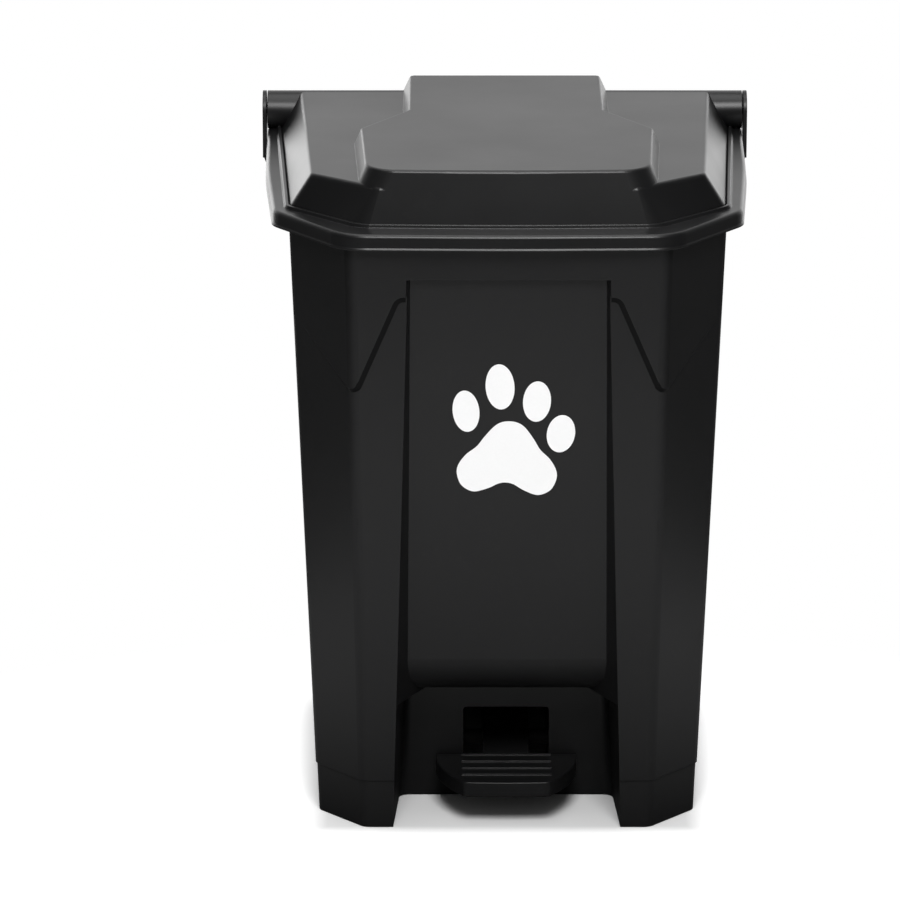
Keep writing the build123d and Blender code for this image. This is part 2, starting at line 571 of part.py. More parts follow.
def make_outer_body():
    """Tapered tub with its recess, pocket, tunnel, floor, feet and hinge ears."""
    foot = body_block(0, FOOT_HEIGHT, -FOOT_INSET)
    tub = body_block(FOOT_HEIGHT, BODY_TOP_Z) + foot + make_band()
    tub += make_ear(-1)
    tub += make_ear(1)
    tub -= front_hollow(0)

    skin = front_hollow(WALL)
    tunnel_end = BODY_REAR_Y_BOTTOM - FOOT_INSET - WALL
    skin_half = WINDOW_HALF + WALL
    tunnel_skin = span_box(
        (-skin_half, skin_half), (POCKET_BACK_Y, tunnel_end + WALL), (0, WINDOW_TOP_Z + WALL)
    )
    room = body_block(FOOT_HEIGHT, BODY_TOP_Z + OVERRUN, -WALL)
    tub -= room - skin - tunnel_skin
    underside = body_block(-OVERRUN, FLOOR_UNDER_Z, -WALL - FOOT_INSET)
    rib_span = (TUNNEL_RIB_BOTTOM_Z, FLOOR_UNDER_Z)
    ribs = span_box((-skin_half, skin_half), (POCKET_BACK_Y, tunnel_end), rib_span)
    tub -= underside - skin - ribs
    tunnel = front_prism(
        [
            (-WINDOW_HALF, -OVERRUN),
            (WINDOW_HALF, -OVERRUN),
            (WINDOW_HALF, WINDOW_TOP_Z),
            (-WINDOW_HALF, WINDOW_TOP_Z),
        ],
        POCKET_BACK_Y - WALL,
        tunnel_end,
        {
            (-WINDOW_HALF, WINDOW_TOP_Z): WINDOW_CORNER_RADIUS,
            (WINDOW_HALF, WINDOW_TOP_Z): WINDOW_CORNER_RADIUS,
        },
    )
    for side in (-1, 1):
        rib_x = side * (WINDOW_HALF + WALL)
        tub += rod_x(PIVOT_BOSS_RADIUS, rib_x, rib_x + side * WALL, PIVOT_Y, PIVOT_Z - OVERRUN)
        tub += rod_y(
            SCREW_HEAD_RADIUS + OVERRUN,
            ROD_X + side * GUIDE_SCREW_HALF_PITCH,
            GUIDE_SEAT_Y,
            GUIDE_WALL_Y + GUIDE_BOSS_WALL,
            GUIDE_Z,
        )
    tub -= tunnel
    tub -= rod_x(PIVOT_RADIUS + RUNNING_GAP, -skin_half - 2 * WALL, skin_half + 2 * WALL, PIVOT_Y, PIVOT_Z)
    tub -= rod_z(ROD_RADIUS + WIRE_HOLE_GAP, ROD_X, ROD_Y, FOOT_HEIGHT, WINDOW_TOP_Z + 2 * WALL)
    for side in (-1, 1):
        tub -= rod_x(
            HINGE_PIN_RADIUS + RUNNING_GAP, side * (EAR_INNER_X - OVERRUN), side * (EAR_OUTER_X + OVERRUN),
            HINGE_Y, HINGE_Z,
        )
        tub -= rod_x(
            PIN_HEAD_RADIUS + RUNNING_GAP, side * (EAR_OUTER_X - PIN_HEAD_THICKNESS),
            side * (EAR_OUTER_X + OVERRUN), HINGE_Y, HINGE_Z,
        )
        tub -= rod_y(
            SCREW_RADIUS + RUNNING_GAP,
            ROD_X + side * GUIDE_SCREW_HALF_PITCH,
            GUIDE_SEAT_Y - OVERRUN,
            GUIDE_SEAT_Y + GUIDE_SCREW_LENGTH - GUIDE_PLATE,
            GUIDE_Z,
        )
    return tub


def rim_slice(z, grow=0.0, rear_y=HINGE_Y):
    """Plan of the lid's rim."""
    corners = [
        (0, RIM_FRONT_Y, BOW_RADIUS),
        (RIM_FRONT_HALF, RIM_FRONT_Y + RIM_FRONT_BOW, RIM_FRONT_RADIUS),
        (RIM_SIDE_HALF, RIM_SIDE_Y, RIM_SIDE_RADIUS),
        (RIM_MIDDLE_HALF, RIM_MIDDLE_Y, BOW_RADIUS),
        (RIM_REAR_HALF, rear_y, 0),
    ]
    return plan(corners, z, grow)


def lid_front_y(z):
    """Middle of the lid's slanted front face at a height."""
    return DOME_FRONT_Y + (z - LEDGE_Z) * DOME_FRONT_LEAN


def bowed_y(x, z):
    """Front face of the lid beside its middle, where the bow draws it back."""
    return lid_front_y(z) + DOME_FRONT_BOW * x / DOME_FRONT_HALF


def dome_slice(z, grow=0.0):
    """Plan of the dome at a height; its front runs past the shared front face, which trims it."""
    share = (z - LEDGE_Z) / (DOME_TOP_Z - LEDGE_Z)
    front_half = between(DOME_FRONT_HALF, DOME_TOP_FRONT_HALF, share)
    side_half = between(DOME_SIDE_HALF, DOME_TOP_SIDE_HALF, share)
    side_y = between(DOME_SIDE_Y, DOME_TOP_SIDE_Y, share)
    rear_half = between(DOME_REAR_HALF, DOME_TOP_REAR_HALF, share)
    front_radius = between(DOME_FRONT_RADIUS_LOW, DOME_FRONT_RADIUS_TOP, share)
    slope = (side_y - bowed_y(front_half, z)) / (side_half - front_half)
    corners = [
        (0, lid_front_y(z) - FRONT_TRIM, BOW_RADIUS),
        (front_half - FRONT_TRIM / slope, bowed_y(front_half, z) - FRONT_TRIM, front_radius),
        (side_half, side_y, DOME_SIDE_RADIUS),
        (rear_half, HINGE_Y, 0),
    ]
    return plan(corners, z, grow)


def lid_front(grow=0.0):
    """Everything behind the one slanted front face of the dome and the T-shaped panel."""
    low_z = RIM_BOTTOM_Z
    high_z = PANEL_TOP_Z + ROLL_RADIUS
    side = BARREL_HALF + OVERRUN

    def front_slice(z):
        corners = [
            (0, lid_front_y(z), BOW_RADIUS),
            (side, bowed_y(side, z), 0),
            (side, HINGE_Y + 2 * ROLL_RADIUS, 0),
        ]
        return plan(corners, z, grow)

    return tapered(front_slice(low_z), front_slice(high_z))


def panel_slice(z, grow=0.0):
    """Plan of the T-shaped panel at a height."""
    lean = (PANEL_TOP_Z - z) * PANEL_SIDE_LEAN
    bend = lean * (WING_HALF - STEM_HALF) / (STEM_FRONT_Y - WING_REAR_Y) / 2
    front_half = WING_FRONT_HALF + lean
    corners = [
        (0, lid_front_y(z) - FRONT_TRIM / 2, BOW_RADIUS),
        (front_half, bowed_y(front_half, z) - FRONT_TRIM / 2, PANEL_CORNER_RADIUS),
        (WING_HALF + lean, WING_REAR_Y + bend, PANEL_BEND_RADIUS),
        (STEM_HALF + lean, STEM_FRONT_Y + bend, PANEL_BEND_RADIUS),
        (STEM_HALF + lean, STEM_REAR_Y + lean, STEM_REAR_RADIUS),
    ]
    return plan(corners, z, grow)


def make_lid():
    """Lid shell: skirt, flange, groove, dome, T-shaped panel, rear roll and the crank for the rod."""
    rim = tapered(rim_slice(RIM_BOTTOM_Z), rim_slice(RIM_TOP_Z))
    rim = fillet(rim.edges().group_by(Axis.Z)[-1], RIM_EDGE_RADIUS)
    bead_z = RIM_BOTTOM_Z + RIM_BEAD_HEIGHT
    rim += tapered(rim_slice(RIM_BOTTOM_Z, RIM_BEAD), rim_slice(bead_z, RIM_BEAD))
    rim += tapered(rim_slice(bead_z, RIM_BEAD), rim_slice(bead_z + RIM_BEAD_SLOPE))
    open_end = HINGE_Y + ROLL_RADIUS
    rim -= tapered(
        rim_slice(RIM_BOTTOM_Z - OVERRUN, -LID_WALL, open_end), rim_slice(FLANGE_UNDER_Z, -LID_WALL, open_end)
    )
    roll = rod_x(ROLL_RADIUS, -BARREL_HALF, BARREL_HALF, HINGE_Y, HINGE_Z)
    front = lid_front()
    step = GROOVE_WIDTH + LEDGE_WIDTH
    ledge = tapered(dome_slice(FLANGE_UNDER_Z, step), dome_slice(LEDGE_Z, step)) & lid_front(step)
    ledge &= span_box((-BARREL_HALF, BARREL_HALF), (FRONT_CLEAR_Y, HINGE_Y), (RIM_BOTTOM_Z, HINGE_Z))
    groove = tapered(dome_slice(RIM_TOP_Z, GROOVE_WIDTH), dome_slice(LEDGE_Z + OVERRUN, GROOVE_WIDTH))
    groove &= lid_front(GROOVE_WIDTH)
    dome = tapered(dome_slice(FLANGE_UNDER_Z), dome_slice(DOME_TOP_Z)) & front
    dome_edges = dome.edges().group_by(Axis.Z)[-1].sort_by(Axis.Y)[:-1]
    dome = fillet(dome_edges, DOME_EDGE_RADIUS)
    panel_low_z = HINGE_Z + ROLL_RADIUS / 2
    panel = tapered(panel_slice(panel_low_z), panel_slice(PANEL_TOP_Z)) & front
    panel = fillet(panel.edges().group_by(Axis.Z)[-1], PANEL_EDGE_RADIUS)
    lid = rim + ledge - groove + (dome + panel + roll)

    inner_front = lid_front(-LID_WALL)
    inner_top = DOME_TOP_Z - LID_WALL
    room = tapered(dome_slice(RIM_BOTTOM_Z, -LID_WALL), dome_slice(inner_top, -LID_WALL)) & inner_front
    room &= span_box((-BARREL_HALF, BARREL_HALF), (FRONT_CLEAR_Y, HINGE_Y), (RIM_BOTTOM_Z, inner_top))
    panel_room = tapered(panel_slice(panel_low_z, -LID_WALL), panel_slice(PANEL_TOP_Z - LID_WALL, -LID_WALL))
    panel_room &= inner_front
    barrel_room = BARREL_HALF - BARREL_END_WALL
    roll_room = rod_x(ROLL_RADIUS - LID_WALL, -barrel_room, barrel_room, HINGE_Y, HINGE_Z)
    lid -= room + panel_room + roll_room
    for side in (-1, 1):
        lid += rod_x(
            BARREL_BOSS_RADIUS, side * (BARREL_HALF - HINGE_PIN_REACH), side * BARREL_HALF, HINGE_Y, HINGE_Z
        )
        lid -= rod_x(
            HINGE_PIN_RADIUS + RUNNING_GAP, side * (BARREL_HALF - HINGE_PIN_REACH - OVERRUN),
            side * (BARREL_HALF + OVERRUN), HINGE_Y, HINGE_Z,
        )
    return lid + make_crank()


def make_crank():
    """Plate under the T's stem with the push rod's hole."""
    eye = CRANK_HOLE_RADIUS + CRANK_EYE_WALL
    plate_x = ROD_X - ROD_BEND_RADIUS - PLAY - CRANK_PLATE
    top_z = PANEL_TOP_Z - LID_WALL / 2
    outline = [
        (CRANK_Y - eye, CRANK_Z),
        (CRANK_Y + eye, CRANK_Z),
        (HINGE_Y, HINGE_Z),
        (HINGE_Y, top_z),
        (CRANK_Y - eye, top_z),
    ]
    face = make_face(Polyline(*[(plate_x, y, z) for y, z in outline], close=True))
    plate = extrude(face, amount=CRANK_PLATE, dir=(1, 0, 0))
    plate += rod_x(eye, plate_x, plate_x + CRANK_PLATE, CRANK_Y, CRANK_Z)
    plate -= rod_x(CRANK_HOLE_RADIUS, plate_x - OVERRUN, plate_x + CRANK_PLATE + OVERRUN, CRANK_Y, CRANK_Z)
    return plate


def make_hinge_pin(side):
    """Headed pin through one ear into the lid's barrel."""
    tip = side * (BARREL_HALF - HINGE_PIN_REACH)
    head = side * (EAR_OUTER_X - PIN_HEAD_THICKNESS)
    pin = rod_x(HINGE_PIN_RADIUS, tip, head, HINGE_Y, HINGE_Z)
    return pin + rod_x(PIN_HEAD_RADIUS, head, side * EAR_OUTER_X, HINGE_Y, HINGE_Z)


def tread_outline(z, inset=0.0):
    """Plan of the foot plate: square at the back, drawn in towards a short bowed front."""
    edges = [
        Line((-TREAD_HALF, TREAD_REAR_Y), (TREAD_HALF, TREAD_REAR_Y)),
        Line((TREAD_HALF, TREAD_REAR_Y), (TREAD_HALF, TREAD_SIDE_Y)),
        ThreePointArc(
            (TREAD_HALF, TREAD_SIDE_Y), (TREAD_BEND_HALF, TREAD_BEND_Y), (TREAD_FRONT_HALF, TREAD_FRONT_Y)
        ),
        ThreePointArc(
            (TREAD_FRONT_HALF, TREAD_FRONT_Y),
            (0, TREAD_FRONT_Y - TREAD_FRONT_BOW),
            (-TREAD_FRONT_HALF, TREAD_FRONT_Y),
        ),
        ThreePointArc(
            (-TREAD_FRONT_HALF, TREAD_FRONT_Y), (-TREAD_BEND_HALF, TREAD_BEND_Y), (-TREAD_HALF, TREAD_SIDE_Y)
        ),
        Line((-TREAD_HALF, TREAD_SIDE_Y), (-TREAD_HALF, TREAD_REAR_Y)),
    ]
    face = make_face(edges).face()
    corners = [v for v in face.vertices() if abs(abs(v.X) - TREAD_FRONT_HALF) < SAME_POINT]
    face = face.fillet_2d(TREAD_CORNER_RADIUS, corners)
    if inset:
        face = offset(face, amount=-inset).face()
    return Pos(0, 0, z) * face


def make_tread():
    """Foot plate with a deep front lip, grip ribs and two screw bosses."""
    under = TREAD_TOP_Z - TREAD_PLATE
    bottom = TREAD_TOP_Z - TREAD_LIP
    tread = extrude(tread_outline(bottom), amount=TREAD_LIP)
    tread = fillet(tread.edges().group_by(Axis.Z)[-1], TREAD_EDGE_RADIUS)
    tread -= extrude(tread_outline(bottom - OVERRUN, TREAD_LIP_WALL), amount=under - bottom + OVERRUN)
    tread -= span_box(
        (-LEVER_HALF - PLAY, LEVER_HALF + PLAY),
        (TREAD_REAR_Y - TREAD_LIP_WALL - OVERRUN, TREAD_REAR_Y + OVERRUN),
        (bottom - OVERRUN, under),
    )
    for index in range(GRIP_RIBS):
        y = GRIP_RIB_FIRST_Y + index * GRIP_RIB_PITCH
        tread += span_box(
            (-GRIP_RIB_HALF, GRIP_RIB_HALF),
            (y - GRIP_RIB_WIDTH / 2, y + GRIP_RIB_WIDTH / 2),
            (under, TREAD_TOP_Z + GRIP_RIB_HEIGHT),
        )
    for side in (-1, 1):
        x = side * TREAD_SCREW_HALF_PITCH
        tread += rod_z(TREAD_BOSS_RADIUS, x, TREAD_SCREW_Y, LEVER_WEB_Z, under)
        tread -= rod_z(
            SCREW_RADIUS + RUNNING_GAP, x, TREAD_SCREW_Y, LEVER_WEB_Z - OVERRUN,
            LEVER_WEB_Z - LEVER_SHEET + TREAD_SCREW_LENGTH,
        )
    return tread


def make_lever():
    """Folded steel channel from the tread to the push rod's eye."""
    eye_slope = (PIVOT_Z - EYE_Z) / (ROD_Y - PIVOT_Y)
    knee_y = PIVOT_Y - LEVER_KNEE_FORWARD
    top_mid = PIVOT_Z + LEVER_MIDDLE_RISE
    bottom_mid = PIVOT_Z - LEVER_MIDDLE_RISE
    tail_y = ROD_Y - LEVER_EYE_RADIUS
    tail_top = EYE_Z + LEVER_EYE_RADIUS + eye_slope * LEVER_EYE_RADIUS
    tail_bottom = EYE_Z - LEVER_EYE_RADIUS
    front_bottom = LEVER_WEB_Z - LEVER_FRONT_DEPTH
    neck_y = POCKET_BACK_Y + WALL
    top = [
        (LEVER_FRONT_Y, LEVER_WEB_Z),
        (neck_y, LEVER_WEB_Z),
        (knee_y, top_mid),
        (PIVOT_Y + LEVER_EYE_RADIUS, top_mid),
        (tail_y, tail_top),
    ]
    bottom = [
        (tail_y, tail_bottom),
        (PIVOT_Y, bottom_mid),
        (knee_y, bottom_mid),
        (neck_y, front_bottom),
        (LEVER_FRONT_Y, front_bottom),
    ]
    lever = side_prism(top + bottom, LEVER_HALF)
    inside_top = [(y, z - LEVER_SHEET) for y, z in top]
    inside_top[0] = (LEVER_FRONT_Y - OVERRUN, LEVER_WEB_Z - LEVER_SHEET)
    web_end = tail_y - LEVER_EYE_RADIUS
    inside_top[-1] = (web_end, tail_top - LEVER_SHEET + eye_slope * LEVER_EYE_RADIUS)
    clear_y = ROD_Y + 2 * LEVER_EYE_RADIUS
    inside_top += [(web_end, PIVOT_Z), (clear_y, PIVOT_Z)]
    inside_bottom = [(clear_y, -LEVER_EYE_RADIUS), (LEVER_FRONT_Y - OVERRUN, -LEVER_EYE_RADIUS)]
    for side in (-1, 1):
        lever += rod_x(LEVER_EYE_RADIUS, side * LEVER_HALF, side * (LEVER_HALF - LEVER_SHEET), ROD_Y, EYE_Z)
    cheeks = [
        (tail_y - LEVER_EYE_RADIUS, tail_bottom),
        (tail_y - LEVER_EYE_RADIUS, tail_top - LEVER_SHEET),
        (ROD_Y, EYE_Z + LEVER_EYE_RADIUS),
        (ROD_Y, tail_bottom),
    ]
    lever += side_prism(cheeks, LEVER_HALF)
    lever -= side_prism(inside_top + inside_bottom, LEVER_HALF - LEVER_SHEET)
    lever -= rod_x(PIVOT_RADIUS + RUNNING_GAP, -2 * LEVER_HALF, 2 * LEVER_HALF, PIVOT_Y, PIVOT_Z)
    lever -= rod_x(ROD_RADIUS + RUNNING_GAP, -2 * LEVER_HALF, 2 * LEVER_HALF, ROD_Y, EYE_Z)
    for side in (-1, 1):
        x = side * TREAD_SCREW_HALF_PITCH
        lever -= rod_z(SCREW_RADIUS + RUNNING_GAP, x, TREAD_SCREW_Y, front_bottom, LEVER_WEB_Z + OVERRUN)
    return lever


def make_tread_screws():
    """Two screws from below, through the lever's web into the tread."""
    head_top = LEVER_WEB_Z - LEVER_SHEET
    screws = []
    for side in (-1, 1):
        x = side * TREAD_SCREW_HALF_PITCH
        shank = rod_z(SCREW_RADIUS, x, TREAD_SCREW_Y, head_top, head_top + TREAD_SCREW_LENGTH - OVERRUN)
        head = rod_z(SCREW_HEAD_RADIUS, x, TREAD_SCREW_Y, head_top - SCREW_HEAD_HEIGHT, head_top)
        screws.append(shank + head)
    return Compound(children=screws)


def make_pivot_rod():
    """Steel rod across the two ribs of the tunnel."""
    end = WINDOW_HALF + 2 * WALL + PIVOT_END
    return rod_x(PIVOT_RADIUS, -end, end, PIVOT_Y, PIVOT_Z)


def make_pivot_clips():
    """Push-on clips at the ends of the pivot rod."""
    clips = []
    for side in (-1, 1):
        inner = side * (WINDOW_HALF + 2 * WALL + REST_GAP)
        outer = inner + side * CLIP_HUB_LENGTH
        clip = rod_x(CLIP_RADIUS, inner, inner + side * CLIP_THICKNESS, PIVOT_Y, PIVOT_Z)
        clip += rod_x(PIVOT_RADIUS + CLIP_HUB_WALL, inner, outer, PIVOT_Y, PIVOT_Z)
        clip -= rod_x(PIVOT_RADIUS + RUNNING_GAP, inner - side, outer + side, PIVOT_Y, PIVOT_Z)
        clips.append(clip)
    return Compound(children=clips)


def make_pivot_bushes():
    """Plastic spacers on the pivot rod, between the lever and the ribs."""
    bushes = []
    for side in (-1, 1):
        inner = side * (LEVER_HALF + REST_GAP)
        outer = side * (WINDOW_HALF - REST_GAP)
        bush = rod_x(BUSH_RADIUS, inner, outer, PIVOT_Y, PIVOT_Z)
        bush -= rod_x(PIVOT_RADIUS + RUNNING_GAP, inner - side, outer + side, PIVOT_Y, PIVOT_Z)
        bushes.append(bush)
    return Compound(children=bushes)


def make_push_rod():
    """Upright wire with a hook at each end."""
    tip = ROD_X - ROD_HOOK_LENGTH
    route = [
        (tip, ROD_Y, EYE_Z),
        (ROD_X, ROD_Y, EYE_Z),
        (ROD_X, ROD_Y, CRANK_Z),
        (tip, ROD_Y, CRANK_Z),
    ]
    return wire_along(route, [ROD_BEND_RADIUS, ROD_BEND_RADIUS], ROD_RADIUS)


def make_rod_clip(z, inner_x, radius):
    """Push-on clip on one hook of the push rod."""
    outer_x = inner_x - 2 * CLIP_THICKNESS
    clip = rod_x(radius, inner_x, inner_x - CLIP_THICKNESS, ROD_Y, z)
    clip += rod_x(ROD_RADIUS + CLIP_HUB_WALL, inner_x, outer_x, ROD_Y, z)
    return clip - rod_x(ROD_RADIUS + RUNNING_GAP, inner_x + OVERRUN, outer_x - OVERRUN, ROD_Y, z)


def make_rod_guide():
    """Guide on the rear wall that keeps the push rod upright."""
    half = GUIDE_SCREW_HALF_PITCH + SCREW_HEAD_RADIUS + OVERRUN
    bore = ROD_RADIUS + GUIDE_ROD_GAP
    ring = bore + GUIDE_RING_WALL
    low_z = GUIDE_Z - GUIDE_HEIGHT / 2
    high_z = GUIDE_Z + GUIDE_HEIGHT / 2
    plate_y = GUIDE_SEAT_Y - GUIDE_PLATE
    guide = span_box((ROD_X - half, ROD_X + half), (plate_y, GUIDE_SEAT_Y), (low_z, high_z))
    guide += span_box((ROD_X - ring, ROD_X + ring), (ROD_Y, plate_y), (low_z, high_z))
    guide += rod_z(ring, ROD_X, ROD_Y, low_z, high_z)
    guide -= rod_z(bore, ROD_X, ROD_Y, low_z - OVERRUN, high_z + OVERRUN)
    for side in (-1, 1):
        x = ROD_X + side * GUIDE_SCREW_HALF_PITCH
        front_y = GUIDE_SEAT_Y - 2 * GUIDE_PLATE
        guide -= rod_y(SCREW_RADIUS + RUNNING_GAP, x, front_y, GUIDE_SEAT_Y + OVERRUN, GUIDE_Z)
    return guide


def make_guide_screws():
    """Two screws that hold the guide on the rear wall's bosses."""
    seat = GUIDE_SEAT_Y - GUIDE_PLATE
    screws = []
    for side in (-1, 1):
        x = ROD_X + side * GUIDE_SCREW_HALF_PITCH
        shank = rod_y(SCREW_RADIUS, x, seat, seat + GUIDE_SCREW_LENGTH - OVERRUN, GUIDE_Z)
        screws.append(shank + rod_y(SCREW_HEAD_RADIUS, x, seat - SCREW_HEAD_HEIGHT, seat, GUIDE_Z))
    return Compound(children=screws)


def bucket_slice(z, grow=0.0):
    """Plan of the inner bucket at a height."""
    share = (BUCKET_TOP_Z - z) / (BUCKET_TOP_Z - BUCKET_BOTTOM_Z)
    half = BUCKET_HALF - BUCKET_SIDE_DRAFT * share
    front_y = BUCKET_FRONT_Y + BUCKET_FRONT_DRAFT * share
    rear_y = BUCKET_REAR_Y - BUCKET_REAR_DRAFT * share
    channel_y = BUCKET_REAR_Y - ROD_CHANNEL_DEPTH
    corners = [
        (half, front_y, BUCKET_FRONT_RADIUS),
        (half, rear_y - BUCKET_REAR_CUT, BUCKET_BEND_RADIUS),
        (half - BUCKET_REAR_CUT, rear_y, BUCKET_BEND_RADIUS),
        (ROD_CHANNEL_MOUTH_HALF, rear_y, BUCKET_BEND_RADIUS),
        (ROD_CHANNEL_HALF, channel_y - BUCKET_REAR_DRAFT * share / 2, BUCKET_BEND_RADIUS),
    ]
    return plan(corners, z, grow)


def rim_corners(inset):
    """Corners of the bucket's turned-down rim."""
    half = BUCKET_RIM_HALF - inset
    front_y = BUCKET_FRONT_Y - BUCKET_FRONT_FLANGE + inset
    rear_y = BUCKET_RIM_REAR_Y - inset
    channel_y = BUCKET_REAR_Y - ROD_CHANNEL_DEPTH + BUCKET_REAR_FLANGE - inset
    return [
        (half, front_y, BUCKET_RIM_RADIUS - inset),
        (half, rear_y - BUCKET_REAR_CUT, BUCKET_BEND_RADIUS),
        (half - BUCKET_REAR_CUT, rear_y, BUCKET_BEND_RADIUS),
        (ROD_CHANNEL_MOUTH_HALF - BUCKET_REAR_FLANGE + inset, rear_y, BUCKET_BEND_RADIUS),
        (ROD_CHANNEL_HALF - BUCKET_REAR_FLANGE + inset, channel_y, BUCKET_BEND_RADIUS),
    ]


def bucket_hollows(grow):
    """Space left for the pedal pocket and the tunnel under the bucket."""
    gap = WALL + BUCKET_GAP - grow
    pocket = span_box(
        (-RECESS_HALF_BOTTOM - gap, RECESS_HALF_BOTTOM + gap),
        (FRONT_CLEAR_Y, POCKET_BACK_Y + gap),
        (BUCKET_BOTTOM_Z - OVERRUN, POCKET_CEILING_Z + gap),
    )
    tunnel = span_box(
        (-WINDOW_HALF - gap, WINDOW_HALF + gap),
        (FRONT_CLEAR_Y, BUCKET_REAR_Y + OVERRUN),
        (BUCKET_BOTTOM_Z - OVERRUN, WINDOW_TOP_Z + gap),
    )
    return pocket + tunnel


def make_bucket():
    """Lift-out bucket with a turned-down rim, hand flanges and hollows over pocket and tunnel."""
    bucket = tapered(bucket_slice(BUCKET_BOTTOM_Z), bucket_slice(BUCKET_TOP_Z))
    lip_z = BUCKET_TOP_Z - BUCKET_LIP
    rim = extrude(plan(rim_corners(0), lip_z), amount=BUCKET_LIP)
    rim -= extrude(plan(rim_corners(BUCKET_WALL), lip_z), amount=BUCKET_LIP - BUCKET_WALL)
    notch_x = BUCKET_HALF + BUCKET_WALL
    for side in (-1, 1):
        rim -= span_box(
            sorted((side * notch_x, side * (BUCKET_RIM_HALF + OVERRUN))),
            (NOTCH_FRONT_Y, NOTCH_REAR_Y),
            (lip_z - OVERRUN, BUCKET_TOP_Z + OVERRUN),
        )
    bucket += rim
    for side in (-1, 1):
        boss_end = side * (BUCKET_HALF + BAIL_BOSS_OUT)
        bucket += rod_x(BAIL_BOSS_RADIUS, side * (BUCKET_HALF - BUCKET_WALL * 2), boss_end, BAIL_Y, BAIL_Z)
    bucket -= bucket_hollows(0)
    floor_z = BUCKET_BOTTOM_Z + BUCKET_WALL
    room = tapered(bucket_slice(floor_z, -BUCKET_WALL), bucket_slice(BUCKET_TOP_Z + OVERRUN, -BUCKET_WALL))
    bucket -= room - bucket_hollows(-BUCKET_WALL)
    bore = BAIL_BUSH_RADIUS + RUNNING_GAP
    return bucket - rod_x(bore, -BAIL_HALF, BAIL_HALF, BAIL_Y, BAIL_Z)


def make_bail():
    """Steel wire bail that lies forward on the bucket's rim; its ends are bent over inside the bucket."""
    inside = BUCKET_HALF - BUCKET_WALL - BAIL_BUSH_FLANGE - BAIL_HOOK_GAP - BAIL_BEND_RADIUS / 2
    rest_z = BUCKET_TOP_Z + BAIL_RADIUS + REST_GAP
    right = [
        (inside, BAIL_Y + BAIL_HOOK_LENGTH, BAIL_Z),
        (inside, BAIL_Y, BAIL_Z),
        (BAIL_HALF, BAIL_Y, BAIL_Z),
        (BAIL_HALF, BAIL_RISE_Y, rest_z),
        (BAIL_HALF, BAIL_GRIP_Y, rest_z),
    ]
    left = [(-x, y, z) for x, y, z in reversed(right)]
    bends = [BAIL_BEND_RADIUS / 2, BAIL_BEND_RADIUS, BAIL_BEND_RADIUS * 2, BAIL_CORNER_RADIUS]
    return wire_along(right + left, bends + bends[::-1], BAIL_RADIUS)


def make_bail_bush(side):
    """Flanged bush of one bail end in the bucket's wall."""
    inner = side * (BUCKET_HALF - BUCKET_WALL)
    seat = side * (BUCKET_HALF + BAIL_BOSS_OUT)
    outer = seat + side * BAIL_BUSH_FLANGE
    bush = rod_x(BAIL_BUSH_RADIUS, inner, seat, BAIL_Y, BAIL_Z)
    bush += rod_x(BAIL_BUSH_FLANGE_RADIUS, seat, outer, BAIL_Y, BAIL_Z)
    return bush - rod_x(BAIL_RADIUS + RUNNING_GAP, inner - side, outer + side, BAIL_Y, BAIL_Z)


def make_paw():
    """Printed paw on the recess panel: one pad and four toes."""
    rise = RECESS_TOP_Z - POCKET_CEILING_Z
    panel_slope = (RECESS_PANEL_Y_TOP - RECESS_PANEL_Y_BOTTOM) / rise
    centre_y = RECESS_PANEL_Y_BOTTOM + panel_slope * (PAW_Z - POCKET_CEILING_Z)
    outward = Vector(0, -1, panel_slope).normalized()
    sheet = Plane(origin=(0, centre_y, PAW_Z), x_dir=(1, 0, 0), z_dir=outward)
    right = [
        (0, PAW_TOP),
        PAW_SHOULDER,
        (PAW_HALF_WIDTH, PAW_SIDE_Z),
        PAW_BOTTOM,
        (0, PAW_NOTCH_Z),
    ]
    left = [(-x, z) for x, z in reversed(right[1:-1])]
    pad = Rot(0, 0, PAW_TILT) * make_face(Spline(*right, *left, periodic=True))
    toes = [Pos(x, z) * Rot(0, 0, lean) * Ellipse(half, height) for x, z, half, height, lean in PAW_TOES]
    shapes = [sheet * pad] + [sheet * toe for toe in toes]
    return Compound(children=[extrude(shape, amount=PRINT_THICKNESS, dir=outward) for shape in shapes])


def make_rod_clip_lower():
    """Clip behind the lever's eye."""
    return make_rod_clip(EYE_Z, LEVER_HALF - LEVER_SHEET - REST_GAP, CLIP_RADIUS)


def make_rod_clip_upper():
    """Clip behind the lid's crank, wider than the crank's hole."""
    inner_x = ROD_X - ROD_BEND_RADIUS - PLAY - CRANK_PLATE - REST_GAP
    return make_rod_clip(CRANK_Z, inner_x, CRANK_HOLE_RADIUS + CRANK_EYE_WALL)


def main():
    """Build every node and write its file."""
    nodes = {
        "outer_body": make_outer_body(),
        "lid": make_lid(),
        "hinge_pin_left": make_hinge_pin(-1),
        "hinge_pin_right": make_hinge_pin(1),
        "pedal_tread": make_tread(),
        "pedal_lever": make_lever(),
        "tread_screws": make_tread_screws(),
        "pedal_pivot_rod": make_pivot_rod(),
        "pivot_rod_clips": make_pivot_clips(),
        "pivot_bushes": make_pivot_bushes(),
        "push_rod": make_push_rod(),
        "push_rod_clip_lower": make_rod_clip_lower(),
        "push_rod_clip_upper": make_rod_clip_upper(),
        "rod_guide": make_rod_guide(),
        "guide_screws": make_guide_screws(),
        "inner_bucket": make_bucket(),
        "bail_handle": make_bail(),
        "bail_bush_left": make_bail_bush(-1),
        "bail_bush_right": make_bail_bush(1),
        "paw_decal": make_paw(),
    }
    for name, shape in nodes.items():
        export_step(shape, f"parts/{name}.step")
    print("rod line y", round(ROD_Y, 3), "eye z", round(EYE_Z, 3))
    print("crank", round(CRANK_Y, 3), round(CRANK_Z, 3))
    print("pedal travel in degrees", round(PEDAL_TRAVEL, 4))


main()
